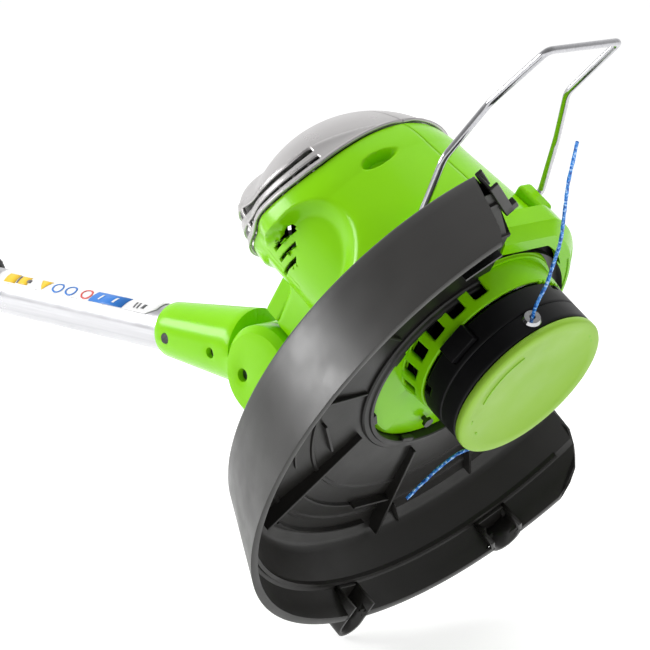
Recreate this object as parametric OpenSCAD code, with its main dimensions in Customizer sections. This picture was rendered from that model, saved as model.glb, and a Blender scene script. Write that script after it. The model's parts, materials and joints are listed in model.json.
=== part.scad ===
// String trimmer lying on the floor with its shaft level.
// Origin: centre of the battery's underside. +X runs from the rear handle to
// the cutting head, +Y is the operator's left, +Z is up, in millimetres.

/* [Shaft and layout] */
// Distance from the battery's centre to the head's pivot
pivot_x = 905; // [860:5:960]
// Angle between the shaft and the cutting plane
head_tilt = 56; // [50:1:60]
// Radius of the lower tube
tube_r = 14; // [13.5:0.1:14]
// Wall of both tubes
tube_wall = 1.5; // [1.2:0.1:1.6]
// Length of the lower tube that can slide out
telescope_travel = 200; // [120:10:220]

/* [Cutting head] */
// Radius of the line drum and its cap
drum_r = 46; // [44:0.5:46.5]
// Height of the drum from the cap's face to its top
drum_h = 30; // [28:0.5:30]
// Radius of the motor housing's dome
housing_r = 69; // [66:0.5:70]
// Height of the motor housing's crown above the cap's face
crown_z = 197; // [194:1:202]
// Diameter of the trimmer line
line_d = 2; // [1.6:0.1:2.2]

/* [Guard] */
// Distance of the guard's centre behind the spool's axis
guard_back = 23.5; // [20:0.5:25]
// Outer radius of the guard's rim
rim_r = 160.4; // [155:0.2:165]
// Outer radius of the guard's upper edge
shoulder_r = 139.4; // [136:0.2:142]
// Height of the rim above the cap's face
rim_z = 7.7; // [6:0.1:9]
// Height of the guard's upper edge above the cap's face
shoulder_z = 58.5; // [57:0.5:60]

/* [Wire guard] */
// Radius of the bent wire
wire_r = 2; // [1.8:0.1:2.2]

/* [Handles] */
// Distance of the front handle from the battery's centre
front_handle_x = 350; // [330:5:400]
// Radius of the front handle's loop
loop_mid_r = 54; // [50:1:60]
// Half thickness of the rear handle's shells
grip_half_w = 19; // [18:0.5:20]

/* [Battery] */
// Half width of the battery pack
battery_half_w = 36; // [34:0.5:38]
// Height of the battery pack's case
battery_h = 60; // [58:0.5:60]

/* [Hidden] */

$fn = 64;
gap = 0.3;       // between pieces that move past each other
fit = 0.05;      // radial clearance of a running fit
big = 400;       // larger than any piece, for half spaces

// The head is drawn upright: its own z runs up the spool's axis from the cap's
// face and its x points forward, then it is tilted and placed on the shaft.
head_dx = 177;   // spool axis in front of the pivot
head_dz = 18;    // cap centre above the pivot
foot_az = -173.5;  // first foot of the guard
foot_axis_r = 165; // where the first foot's nose is centred
foot_r = 9;
foot_low = guard_back - foot_axis_r*cos(foot_az) + foot_r;
head_z = sin(head_tilt)*foot_low - cos(head_tilt)*rim_z;
head_x = pivot_x + head_dx;
pivot_z = head_z - head_dz;
pivot_drop = 6.6; // pivot below the shaft's axis
shaft_z = pivot_z + pivot_drop;
echo("HEAD_ORIGIN", [head_x, 0, head_z]);

module on_head() {
  translate([head_x, 0, head_z]) rotate([0, -head_tilt, 0]) children();
}
// Lays a z axis along the shaft, starting at x.
module on_shaft(x) {
  translate([x, 0, shaft_z]) rotate([0, 90, 0]) children();
}
module at_pivot() {
  translate([pivot_x, 0, pivot_z]) rotate([90, 0, 0]) children();
}
// Turns z into +y: children are drawn in x and y, which become x and z.
module side_slab(y0, y1) {
  translate([0, y1, 0]) rotate([90, 0, 0]) linear_extrude(y1 - y0) children();
}
module right_half() {
  intersection() {
    children();
    translate([-2*big, -big, -big]) cube([5*big, big, 2*big]);
  }
}
module left_half() {
  intersection() {
    children();
    translate([-2*big, 0, -big]) cube([5*big, big, 2*big]);
  }
}
module block(low, high) {
  translate(low) cube(high - low);
}
module tube(r_out, r_in, h) {
  difference() {
    cylinder(r = r_out, h = h);
    translate([0, 0, -1]) cylinder(r = r_in, h = h + 2);
  }
}
// A cylinder between two points.
module rod(p, q, r) {
  d = q - p;
  length = norm(d);
  translate(p)
    rotate([0, acos(d.z/length), atan2(d.y, d.x)])
      cylinder(r = r, h = length);
}
// A round rod swept through a list of points, its corners eased over d.
function eased(path, d, n) = concat([path[0]],
  [for (i = [1:len(path) - 2]) let (p = path[i],
     a = p + unit(path[i - 1] - p)*d, b = p + unit(path[i + 1] - p)*d)
   each [for (k = [0:n]) let (w = k/n) (1 - w)*(1 - w)*a + 2*w*(1 - w)*p + w*w*b]],
  [path[len(path) - 1]]);
function tangent(path, i) =
  unit(path[min(i + 1, len(path) - 1)] - path[max(i - 1, 0)]);
function ring(at, dir, r, s, ref) =
  let (side = unit(cross(dir, ref)), up = cross(side, dir))
  [for (k = [0:s - 1]) at + r*(cos(360*k/s)*side + sin(360*k/s)*up)];
module sweep(path, r, s, ref) {
  n = len(path);
  polyhedron(
    points = [for (i = [0:n - 1]) each ring(path[i], tangent(path, i), r, s, ref)],
    faces = concat(
      [[for (k = [0:s - 1]) k]],
      [for (i = [0:n - 2]) for (k = [0:s - 1]) let (a = i*s + k, b = i*s + (k + 1) % s)
        each [[a, a + s, b + s], [a, b + s, b]]],
      [[for (k = [0:s - 1]) (n - 1)*s + s - 1 - k]]));
}

// Outline helpers: an arc, and a polygon whose corners are rounded.
function arc(centre, r, from, to, n) =
  [for (i = [0:n]) centre + r*[cos(from + (to - from)*i/n), sin(from + (to - from)*i/n)]];
function unit(v) = v/norm(v);
function turned(a, b) = (b - a + 540) % 360 - 180;
function corner(before, at, after, r, n) =
  let (u = unit(before - at), v = unit(after - at), half = acos(u*v)/2,
       centre = at + unit(u + v)*r/sin(half),
       p = at + u*r/tan(half) - centre, q = at + v*r/tan(half) - centre,
       a = atan2(p.y, p.x), sweep = turned(a, atan2(q.y, q.x)))
  arc(centre, r, a, a + sweep, n);
function rounded(pts, r, n = 4) =
  [for (i = [0:len(pts) - 1])
    each corner(pts[(i + len(pts) - 1) % len(pts)], pts[i], pts[(i + 1) % len(pts)], r, n)];

// ---------------------------------------------------------------- rear handle
dock_z = 62;      // underside of the battery dock
ceiling_z = 74;   // roof of the slot the battery slides in
handle_front_x = 200;
body_outline = [
  [200, 168], [150, 172], [96, 177], [60, 172], [-20, 167], [-66, 160], [-90, 138],
  [-93, 78], [-90, 62], [78, 62], [92, 74], [86, 100], [104, 120], [150, 125], [200, 126]];
finger_gap = [
  [-62, 98], [-62, 120], [-50, 132], [44, 130], [60, 112], [58, 98], [50, 92], [-55, 92]];
trigger_pivot = [62, 133];

module handle_body() {
  difference() {
    union() {
      side_slab(-grip_half_w, grip_half_w)
        difference() {
          polygon(rounded(body_outline, 6));
          polygon(rounded(finger_gap, 5));
        }
      side_slab(-33, 33)
        polygon(rounded([[-90, 62], [-90, 90], [84, 90], [84, 62]], 5));
      on_shaft(150) cylinder(r = 23, h = handle_front_x + 4 - 150);
    }
    // Hollow for the tube's end and the wiring.
    block([100, -15, 128], [150, 15, 166]);
    on_shaft(149) cylinder(r = 16.1, h = 60);
    block([26, -12, 134], [101, 12, 164]);
    block([-60, -10, 140], [27, 10, 157]);
    // Slot for the trigger and well for the lock button.
    block([26, -8.4, 108], [70, 8.4, 135]);
    block([71.7, -6.3, 160], [88.3, 6.3, 180]);
    // T slot for the battery, open at the rear.
    block([-100, -20.6, dock_z - 1], [52, 20.6, ceiling_z]);
    block([-100, -26.2, 68], [52, 26.2, ceiling_z]);
    block([-50, -24, ceiling_z - 1], [50, 24, 88]);
    // Pocket for the strap eye.
    block([-100, -3.1, eye_z - 5.2], [-81.7, 3.1, eye_z + 5.2]);
    for (p = handle_screw_places)
      translate([p.x, 0, p.y]) rotate([90, 0, 0]) {
        cylinder(r = 1.6, h = 34, center = true);
        translate([0, 0, 14]) cylinder(r = 3.4, h = 20);
      }
    soft_grip_seat();
  }
  // Pin that the trigger turns on.
  translate([trigger_pivot.x, 0, trigger_pivot.y]) rotate([90, 0, 0]) cylinder(r = 2, h = 18, center = true);
}
handle_screw_places = [[-74, 84], [-76, 120], [8, 162], [94, 110], [160, 166.5], [92, 84]];
module handle_right() { color("#8fd118") right_half() handle_body(); }
module handle_left() { color("#8fd118") left_half() handle_body(); }
// Plate between the shells, for a wall hook or a strap.
eye_x = -101;
eye_z = 138;
module strap_eye() {
  color("#b9bcc0") difference() {
    union() {
      translate([eye_x, 3, eye_z]) rotate([90, 0, 0]) cylinder(r = 8.5, h = 6);
      block([eye_x, -3, eye_z - 5], [-82, 3, eye_z + 5]);
    }
    translate([eye_x, 0, eye_z]) rotate([90, 0, 0]) cylinder(r = 4, h = 20, center = true);
  }
}
module handle_screws() {
  color("#3a3a3c")
    for (p = handle_screw_places)
      translate([p.x, 0, p.y]) rotate([90, 0, 0]) {
        translate([0, 0, -15]) cylinder(r = 1.5, h = 29);
        difference() {
          translate([0, 0, 14]) cylinder(r = 3.2, h = 2.2);
          translate([0, 0, 15]) cylinder(r = 1.4, h = 3, $fn = 6);
        }
      }
}
// Rubber pad set into the top of the grip.
grip_pad_out = [[-58, 161.9], [56, 172.2], [58, 166], [-56, 155]];
module soft_grip_seat() {
  side_slab(-14, 14) polygon([[-58, 164], [56, 175], [56, 167], [-58, 157.5]]);
}
module soft_grip() {
  color("#232325")
    difference() {
      side_slab(-13.8, 13.8) polygon([[-57.8, 162.4], [55.8, 172.8], [55.8, 167.2], [-57.8, 157.8]]);
      translate([8, 0, 162]) rotate([90, 0, 0]) cylinder(r = 3.7, h = 40, center = true);
    }
}
module power_switch() {
  color("#202022") {
    block([32, -9, 143], [58, 9, 157]);
    block([42, -3, 139.4], [48, 3, 143]);
  }
}
module trigger() {
  color("#1f1f21")
    difference() {
      side_slab(-8, 8)
        difference() {
          polygon(rounded([[32, 133], [66, 138], [66, 128], [54, 110], [46, 110], [50, 122], [34, 128]], 1.8));
          translate(trigger_pivot) circle(r = 2.05);
        }
    }
}
module trigger_spring() {
  color("#b9bcc0")
    for (i = [0:5]) translate([36.6, 0, 135 + i*1.5]) rotate_extrude() translate([3, 0]) circle(r = 0.45, $fn = 16);
  color("#b9bcc0")
    for (i = [0:4]) translate([39.6, 0, 135 + i*1.5]) cylinder(r = 0.4, h = 1.5, $fn = 16);
}
module lock_button() {
  color("#1f1f21") {
    side_slab(-6, 6) polygon(rounded([[72, 159.5], [72, 180], [88, 182], [88, 159.5]], 1.5));
    block([68, -9, 158], [92, 9, 161.5]);
  }
}
module battery_terminals() {
  color("#c9a24a")
    for (y = [-14, -5, 5, 14]) block([28, y - 0.5, 66], [44, y + 0.5, 82.2]);
  color("#202022") block([26, -18, 82], [49.5, 18, 87]);
}
module battery_case() {
  color("#2a2a2c")
    difference() {
      union() {
        side_slab(-battery_half_w, battery_half_w)
          polygon(rounded([[-72, 0], [-72, battery_h], [64, battery_h], [64, 0]], 6));
        block([-52, -20, battery_h - 2], [46, 20, 73.4]);
        block([-52, -25.6, 68.6], [46, 25.6, 73.4]);
      }
      block([-64, -30, 4], [56, 30, 54]);
      block([-74, -14.4, 44], [-57, 14.4, battery_h + 1]);
      for (y = [-14, -5, 5, 14]) block([24, y - 1.2, 60], [48, y + 1.2, 76]);
    }
}
module battery_cells() {
  color("#3d78b8")
    for (i = [0:4]) for (z = [15, 36])
      translate([-50.5 + i*22, -27, z]) rotate([-90, 0, 0]) cylinder(r = 9.2, h = 54);
}
module battery_latch() {
  color("#8fd118") {
    block([-74, -14, 47.5], [-66.3, 14, battery_h]);
    block([-66.4, -8, 50], [-57.4, 8, battery_h]);
    block([-64, -8, battery_h - 0.2], [-57.4, 8, 72]);
  }
}

// ------------------------------------------------------------- upper shaft
upper_r = 16;
upper_end_x = 604;
module upper_tube() {
  color("#c9cacc") on_shaft(150.3) tube(upper_r, upper_r - tube_wall, upper_end_x - 150.3);
}
module collar_base() {
  color("#232325")
    on_shaft(560) difference() {
      union() {
        cylinder(r = 21, h = 24);
        cylinder(r = 18.5, h = 45);
        for (a = [0:30:330]) rotate(a) translate([20.6, 0, 0]) cylinder(r = 1.6, h = 24, $fn = 24);
      }
      translate([0, 0, -1]) cylinder(r = upper_r + fit, h = 60);
    }
}
module collet() {
  color("#e8e6e0")
    on_shaft(605.5) difference() {
      cylinder(r1 = 17.6, r2 = 15.8, h = 13);
      translate([0, 0, -1]) cylinder(r = tube_r + fit, h = 20);
      translate([0, -0.75, -1]) cube([20, 1.5, 20]);
    }
}
module collar_ring() {
  color("#232325")
    on_shaft(585) difference() {
      union() {
        cylinder(r = 23, h = 34);
        translate([0, 0, 34]) cylinder(r1 = 23, r2 = 18, h = 4);
        for (a = [0:20:340]) rotate(a) translate([22.6, 0, 4]) cylinder(r = 1.8, h = 28, $fn = 24);
      }
      translate([0, 0, -1]) cylinder(r = 18.5 + fit, h = 21.5);
      translate([0, 0, 20.4]) cylinder(r1 = 18, r2 = 16.1, h = 14);
      translate([0, 0, 30]) cylinder(r = 14.6, h = 20);
    }
}
module guide_bush() {
  color("#e8e6e0")
    on_shaft(334) difference() {
      union() {
        cylinder(r = upper_r - tube_wall - fit, h = 16);
        cylinder(r = tube_r - tube_wall - fit, h = 38);
      }
      translate([0, 0, -1]) cylinder(r = 5, h = 50);
    }
}
module power_lead() {
  color("#1d1d1f") {
    on_shaft(104) cylinder(r = 3, h = 60);
    on_shaft(164) cylinder(r = 9, h = 150);
    on_shaft(314) cylinder(r = 3, h = 34);
  }
}
module lower_tube() {
  color("#d3d4d6")
    difference() {
      on_shaft(350.3) tube(tube_r, tube_r - tube_wall, 519.7);
      for (p = tube_screw_places) translate([p.x, 0, p.y])
        rotate([90, 0, 0]) cylinder(r = 2, h = 60, center = true);
    }
}
module tube_label() {
  color("#f2f2f0")
    on_shaft(650) rotate(115) rotate_extrude(angle = 110) translate([tube_r + 0.02, 0]) square([0.25, 150]);
}
module head_lead() {
  color("#1d1d1f") on_shaft(374) cylinder(r = 3, h = 440);
}

// ------------------------------------------------------------ front handle
bolt_up = 38;  // bolt above the shaft's axis
module front_clamp() {
  translate([front_handle_x, 0, shaft_z])
    difference() {
      union() {
        rotate([0, 90, 0]) cylinder(r = 22, h = 40, center = true);
        block([-20, -28.5, -8], [20, 28.5, 8]);
        block([-14, -11.8, 10], [14, 11.8, bolt_up]);
        translate([0, 0, bolt_up]) rotate([90, 0, 0]) cylinder(r = 12, h = 23.6, center = true);
      }
      rotate([0, 90, 0]) cylinder(r = upper_r + fit, h = 60, center = true);
      translate([0, 0, bolt_up]) rotate([90, 0, 0]) cylinder(r = 3 + fit, h = 60, center = true);
      for (x = [-12, 12]) for (y = [-24, 24]) translate([x, y, -20]) cylinder(r = 1.6, h = 40);
    }
}
module clamp_upper() {
  color("#232325") intersection() {
    front_clamp();
    translate([0, -big, shaft_z + 0.2]) cube([2*big, 2*big, big]);
  }
}
module clamp_lower() {
  color("#232325") intersection() {
    front_clamp();
    translate([0, -big, shaft_z - big - 0.2]) cube([2*big, 2*big, big]);
  }
}
module clamp_screws() {
  color("#3a3a3c")
    for (x = [-12, 12]) for (y = [-24, 24]) translate([front_handle_x + x, y, shaft_z]) {
      translate([0, 0, -8]) cylinder(r = 1.5, h = 14);
      translate([0, 0, -10.4]) cylinder(r = 3.2, h = 2.4);
    }
}
loop_lean = 18; // the loop leans forward
loop_r = 9.5;
module aux_handle() {
  color("#232325")
    translate([front_handle_x, 0, shaft_z + bolt_up]) rotate([0, loop_lean, 0]) difference() {
      union() {
        translate([0, 0, loop_mid_r + 24]) rotate([0, 90, 0]) rotate_extrude($fn = 96)
          translate([loop_mid_r, 0]) circle(r = loop_r, $fn = 32);
        for (s = [0, 1]) mirror([0, s, 0]) {
          translate([0, 12.1, 0]) rotate([-90, 0, 0]) cylinder(r = 12, h = 9);
          block([-8, 12.1, 0], [8, 21.1, 26]);
        }
      }
      rotate([90, 0, 0]) cylinder(r = 3.1, h = 80, center = true);
    }
}
module aux_bolt() {
  color("#b9bcc0")
    translate([front_handle_x, 0, shaft_z + bolt_up]) rotate([90, 0, 0]) {
      translate([0, 0, -36]) cylinder(r = 3, h = 59);
      translate([0, 0, 22.5]) cylinder(r = 5.5, h = 4, $fn = 6);
    }
}
module aux_knob() {
  color("#232325")
    translate([front_handle_x, 22.6, shaft_z + bolt_up]) rotate([-90, 0, 0]) difference() {
      union() {
        cylinder(r = 9, h = 15);
        for (a = [0:60:300]) rotate(a) translate([8.4, 0, 3]) cylinder(r = 2.4, h = 12, $fn = 24);
      }
      translate([0, 0, -1]) cylinder(r = 3 + fit, h = 14.6);
    }
}

// -------------------------------------------------------------- knuckle
knuckle_r = 27.5;
hub_half_w = 12;
cheek_half_w = 27;
socket_mouth_x = pivot_x - 98;
tube_screw_places = [[pivot_x - 87, shaft_z - 1.1], [pivot_x - 44, shaft_z - 2.2]];
cheek_screw_place = [pivot_x - 11, pivot_z - 2.2];
module socket_body() {
  difference() {
    union() {
      on_shaft(socket_mouth_x) cylinder(r1 = 15.9, r2 = 16.7, h = 2);
      on_shaft(socket_mouth_x + 2) cylinder(r1 = 16.7, r2 = 23.2, h = 69);
      at_pivot() {
        cylinder(r = knuckle_r, h = 2*cheek_half_w - 8, center = true);
        for (s = [0, 1]) mirror([0, 0, s]) translate([0, 0, cheek_half_w - 4])
          cylinder(r1 = knuckle_r, r2 = knuckle_r - 4, h = 4);
      }
    }
    at_pivot() {
      cylinder(r = knuckle_r + 1, h = 2*hub_half_w + 1, center = true);
      cylinder(r = 5 + fit, h = 48.2, center = true);
    }
    on_shaft(socket_mouth_x - 1) cylinder(r = tube_r + 0.1, h = 64.5);
    on_shaft(socket_mouth_x) cylinder(r = 6, h = 94);
    for (p = tube_screw_places) translate([p.x, 0, p.y]) rotate([90, 0, 0]) {
      cylinder(r = 1.6, h = 34, center = true);
      translate([0, 0, 16.4]) cylinder(r = 3.3, h = 20);
    }
    translate([cheek_screw_place.x, 0, cheek_screw_place.y]) rotate([90, 0, 0]) {
      translate([0, 0, 15]) cylinder(r = 1.6, h = 10);
      translate([0, 0, 21]) cylinder(r = 3.9, h = 20);
    }
  }
}
module socket_right() { color("#8fd118") right_half() socket_body(); }
module socket_left() { color("#8fd118") left_half() socket_body(); }
module socket_screws() {
  color("#3a3a3c") {
    for (p = tube_screw_places) translate([p.x, 0, p.y]) rotate([90, 0, 0]) {
      translate([0, 0, -15]) cylinder(r = 1.5, h = 31.6);
      translate([0, 0, 16.5]) cylinder(r = 3.1, h = 1.2);
    }
    translate([cheek_screw_place.x, 0, cheek_screw_place.y]) rotate([90, 0, 0]) {
      translate([0, 0, 15.5]) cylinder(r = 1.5, h = 6);
      translate([0, 0, 21.2]) cylinder(r = 3.6, h = 2);
    }
  }
}
module pivot_pin() {
  color("#b9bcc0") at_pivot() cylinder(r = 5, h = 48, center = true);
}

// -------------------------------------------------------- motor housing
// Everything from here on is drawn in the head's own frame.
pivot_h = [-head_dx*cos(head_tilt) - head_dz*sin(head_tilt),
           head_dx*sin(head_tilt) - head_dz*cos(head_tilt)];
ring_z = 31.3;         // lower edge of the vented ring
body_x = -10;          // centre of the motor body, behind the spool's axis
dome_z = crown_z - housing_r;
belly_z = 52;          // lower edge of the motor body
belly_r = housing_r + 6;
collar_r = 71.5;       // front collar, flattened at the nose
collar_x = 66.4;
foot_x = -20;          // the body's floor, seen through the guard
foot_base_r = 58.5;
foot_z = 46;
skin = 2.5;
rear_r = 53;
waist_r = 58;
arch_centre = [2, 113];
arch_r = 25;
// Joint line of the cover, seen from the side.
split_line = [[-120, 192], [-60, 173.5], [-8.5, 157.5], [18, 150], [35, 145.6], [54, 146.5], [100, 152]];

module motor_form(t) {
  translate([body_x, 0, 0]) {
    intersection() {
      translate([0, 0, dome_z]) sphere(r = housing_r - t, $fn = 128);
      translate([-100, -100, dome_z - 1]) cube(200);
    }
    translate([0, 0, belly_z + t]) cylinder(r1 = belly_r - t, r2 = housing_r - t, h = dome_z - belly_z - t, $fn = 128);
    // Squarer shoulder at the rear.
    rotate(105) rotate_extrude(angle = 150, $fn = 96)
      polygon([[0, dome_z], [rear_r - t, dome_z], [rear_r - t, 176], [rear_r - 3 - t, 184],
        [rear_r - 9 - t, 190 - t/2], [0, crown_z - 2 - t]]);
  }
}
// Hollow in the rear and sides, ending in an arch: everything outside the waist.
module side_recess(g) {
  difference() {
    side_slab(-100, 100) union() {
      translate(arch_centre) circle(r = arch_r + g);
      polygon([[arch_centre.x, arch_centre.y + arch_r + g], [-50, 160 + g], [-120, 186 + g],
        [-120, 60 - g], [arch_centre.x, arch_centre.y - arch_r - g]]);
    }
    cylinder(r = waist_r - g, h = big, $fn = 128);
  }
}
module front_collar(t) {
  intersection() {
    union() {
      translate([0, 0, belly_z + t]) cylinder(r = collar_r - t, h = 13 - 2*t);
      intersection() {
        translate([0, 0, 47 + t]) cylinder(r1 = collar_r - 6 - t, r2 = collar_r - t, h = 6);
        block([20, -16 + t, 40], [90, 90, 60]);
      }
    }
    block([10, -90, 40], [collar_x - t, 90, 80]);
  }
}
module vented_ring() {
  difference() {
    translate([0, 0, ring_z]) cylinder(r1 = 46.6, r2 = 49, h = 17);
    translate([0, 0, ring_z - 1]) cylinder(r = 44.2, h = 30);
    for (side = [-1, 1]) for (k = [0:6])
      rotate(side*(38 + 17*k)) block([30, -4.6, 36.5], [60, 4.6, 45.5]);
  }
}
module neck(t) {
  x = pivot_h.x;
  z = pivot_h.y;
  difference() {
    block([x - 4, -19 + t, z - 24 + t], [-40, 19 - t, z + 22 - t]);
    for (s = [0, 1]) mirror([0, s, 0])
      translate([x, hub_half_w - t, z]) rotate([-90, 0, 0]) cylinder(r = knuckle_r + 1 + t, h = 20);
  }
}
module above_split(rise) {
  side_slab(-big, big) polygon(concat([[-120, big], [100, big]],
    [for (i = [len(split_line) - 1:-1:0]) split_line[i] + [0, rise]]));
}
module housing_solid() {
  difference() {
    union() {
      difference() {
        motor_form(0);
        side_recess(0);
      }
      front_collar(0);
      neck(0);
      translate([pivot_h.x, 0, pivot_h.y]) rotate([90, 0, 0])
        cylinder(r = knuckle_r, h = 2*hub_half_w, center = true);
      for (s = [0, 1]) mirror([0, s, 0]) block([38, 32, 68], [60, 50.5, 86]);
      translate([foot_x, 0, foot_z]) cylinder(r = foot_base_r, h = 8);
      translate([0, 0, foot_z]) cylinder(r = 50.5, h = 8);
    }
    difference() {
      motor_form(skin);
      side_recess(skin);
    }
    front_collar(skin);
    translate([foot_x, 0, foot_z + skin]) cylinder(r = foot_base_r - skin, h = 12);
    translate([0, 0, foot_z - 1]) cylinder(r = 44.2, h = 20);
    block([-88, -16, pivot_h.y - 14], [-40, 16, pivot_h.y + 13]);
    translate([pivot_h.x, 0, pivot_h.y]) rotate([90, 0, 0]) cylinder(r = 5 + 0.08, h = 60, center = true);
    for (s = [0, 1]) mirror([0, s, 0]) {
      // Hole for the wire guard's end and the slot its leg swings in.
      translate([wire_pivot.x, 30, wire_pivot.y]) rotate([-90, 0, 0]) cylinder(r = wire_r + fit, h = 16);
      block([wire_pivot.x - 5, 42.4, wire_pivot.y - 8], [70, 60, 100]);
      // Three curved slots behind the side of the motor.
      for (i = [0:2]) side_slab(40, 90) translate(i*vent_step)
        polygon([[-26, 148.5], [-9, 143], [2, 138.7], [-1, 135.7], [-13, 140.2], [-28, 145]]);
    }
    // Well for the tilt release.
    block([-92, -13.3, pivot_h.y + 8], [-58, 13.3, pivot_h.y + 40]);
    for (p = housing_screw_places) translate([p.x, 0, p.y]) rotate([90, 0, 0]) {
      cylinder(r = 1.6, h = 90, center = true);
      translate([0, 0, 17.5]) cylinder(r = 4.4, h = 62);
    }
    for (p = lug_places) translate([p.x, p.y, 40]) cylinder(r = 1.4, h = 12);
    above_split(0);
  }
  vented_ring();
}
housing_screw_places = [[51, 130.5], [-48, 74]];
vent_step = [-6.2, -4.9];  // from one slot to the next
module housing_right() { color("#8fd118") on_head() right_half() housing_solid(); }
module housing_left() { color("#8fd118") on_head() left_half() housing_solid(); }
module housing_screws() {
  color("#3a3a3c") on_head()
    for (p = housing_screw_places) translate([p.x, 0, p.y]) rotate([90, 0, 0]) {
      translate([0, 0, -14]) cylinder(r = 1.5, h = 31.7);
      translate([0, 0, 17.6]) cylinder(r = 3.6, h = 2.4);
    }
}
module cover_solid() {
  difference() {
    intersection() {
      motor_form(0);
      above_split(0.3);
    }
    motor_form(skin);
    side_recess(0);
    for (rise = [4, 12.5]) vent_band(rise, 4.2);
  }
}
// A slot that follows the cover's joint line round the rear of the cover.
module vent_band(rise, w) {
  intersection() {
    above_split(rise);
    difference() {
      translate([-200, -100, 100]) cube([400, 200, 150]);
      above_split(rise + w);
    }
    translate([body_x, 0, 0]) union() {
      for (side = [0, 1]) mirror([0, side, 0]) for (k = [0:4])
        rotate(48 + k*25.5) linear_extrude(big) polygon([[0, 0], [100, 0], 100*[cos(23), sin(23)]]);
    }
  }
}
module top_cover_right() { color("#b4b3b5") on_head() right_half() cover_solid(); }
module top_cover_left() { color("#b4b3b5") on_head() left_half() cover_solid(); }
module tilt_release() {
  color("#8fd118") on_head() {
    block([-89, -11.8, pivot_h.y + 14], [-60, 11.8, pivot_h.y + 21]);
    for (i = [0:5]) block([-87 + i*4.4, -10, pivot_h.y + 20.9], [-85 + i*4.4, 10, pivot_h.y + 22.6]);
  }
}

// --------------------------------------------------------------- motor
motor_r = 28;
motor_bottom = 64;
motor_top = 126;
shaft_r = 3;
module motor_mount() {
  color("#4a4a4d") on_head() difference() {
    translate([body_x, 0, 58]) cylinder(r = 71.6, h = 4);
    translate([0, 0, 57]) cylinder(r = 8, h = 8);
    for (a = [20:40:340]) rotate(a) translate([44, 0, 57]) cylinder(r = 6, h = 8);
  }
}
module motor_can() {
  color("#9a9ca0") on_head() difference() {
    translate([0, 0, 62.1]) cylinder(r = motor_r, h = motor_top - 62.1);
    translate([0, 0, 69]) cylinder(r = motor_r - 2, h = motor_top - 76);
    for (z = [62, motor_top - 7]) translate([0, 0, z - 0.1]) cylinder(r = 8.02, h = 7.4);
    translate([0, 0, 60]) cylinder(r = 5, h = 80);
  }
}
module motor_bearings() {
  color("#d5d7da") on_head()
    for (z = [62.4, motor_top - 6.9]) translate([0, 0, z]) tube(8, shaft_r + 0.03, 6);
}
module brush_cap() {
  color("#202022") on_head() difference() {
    translate([0, 0, motor_top + 0.1]) cylinder(r = 24, h = 8);
    translate([0, 0, motor_top]) cylinder(r = 6, h = 6);
  }
}
module motor_lead() {
  color("#1d1d1f") on_head() {
    rod([-86, 0, 130], [-40, 0, 130], 2.5);
    translate([-40, 0, 130]) sphere(r = 2.5);
    rod([-40, 0, 130], [-24.2, 0, 130], 2.5);
  }
}
module motor_shaft() {
  color("#d5d7da") on_head() translate([0, 0, 12]) cylinder(r = shaft_r, h = motor_top - 10);
}
module cooling_fan() {
  color("#2d2d30") on_head() difference() {
    union() {
      translate([0, 0, 36]) cylinder(r = 8, h = 12);
      translate([0, 0, 46]) cylinder(r = 40, h = 1.6);
      for (a = [0:30:330]) rotate(a) block([7, -0.8, 36.5], [40, 0.8, 46.2]);
    }
    translate([0, 0, 30]) cylinder(r = shaft_r + 0.02, h = 30);
  }
}

// ---------------------------------------------------------- line drum
eyelet_az = [-22, 158];
eyelet_z = 11;
latch_az = [-68, 112];
module drum() {
  color("#1b1b1d") on_head() difference() {
    union() {
      translate([0, 0, 4.2]) cylinder(r = drum_r, h = drum_h - 4.2);
    }
    translate([0, 0, 4]) cylinder(r = drum_r - 2.5, h = drum_h - 8);
    for (a = eyelet_az) rotate(a) translate([38, 0, eyelet_z]) rotate([0, 90, 0]) cylinder(r = 3.5, h = 20);
    for (a = latch_az) rotate(a) block([40.3, -9, 19.4], [60, 9, drum_h + 1]);
    translate([0, 0, 10]) cylinder(r = shaft_r + 0.02, h = 40);
  }
  color("#1b1b1d") on_head() translate([0, 0, 12.5]) tube(7, shaft_r + 0.02, 14);
}
module line_eyelets() {
  color("#d5d7da") on_head()
    for (a = eyelet_az) rotate(a) translate([0, 0, eyelet_z]) rotate([0, 90, 0]) difference() {
      union() {
        translate([0, 0, 42.6]) cylinder(r = 3.4, h = 4);
        translate([0, 0, drum_r + 0.1]) cylinder(r1 = 5.2, r2 = 4.2, h = 1.6);
      }
      translate([0, 0, 40]) cylinder(r = 1.6, h = 20);
    }
}
module drum_cap() {
  color("#8fd118") on_head() {
    difference() {
      union() {
        cylinder(r1 = drum_r - 0.6, r2 = drum_r + 0.2, h = 0.8);
        translate([0, 0, 0.8]) cylinder(r = drum_r + 0.2, h = 3.2);
      }
      translate([0, 0, 2.2]) cylinder(r = drum_r - 3, h = 3);
    }
    translate([0, 0, 2]) tube(drum_r - 2.8, drum_r - 4.6, 4);
    translate([0, 0, 2]) tube(7, 4, 6);
  }
}
module latch(az) {
  on_head() rotate(az) {
    block([42.6, -8.6, 20], [49.8, 8.6, 30.4]);
  }
}
module latch_right() { color("#1b1b1d") latch(latch_az[0]); }
module latch_left() { color("#1b1b1d") latch(latch_az[1]); }
module reel() {
  color("#2d2d30") on_head() difference() {
    union() {
      translate([0, 0, 12.6]) cylinder(r = 12, h = 12);
      translate([0, 0, 12.6]) cylinder(r = 40, h = 1.6);
      translate([0, 0, 23]) cylinder(r = 39.5, h = 1.6);
    }
    translate([0, 0, 12]) cylinder(r = 7 + fit, h = 20);
  }
}
module wound_line() {
  color("#2f86d8") on_head() translate([0, 0, 14.4]) tube(34, 12.2, 8.4);
}
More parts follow.
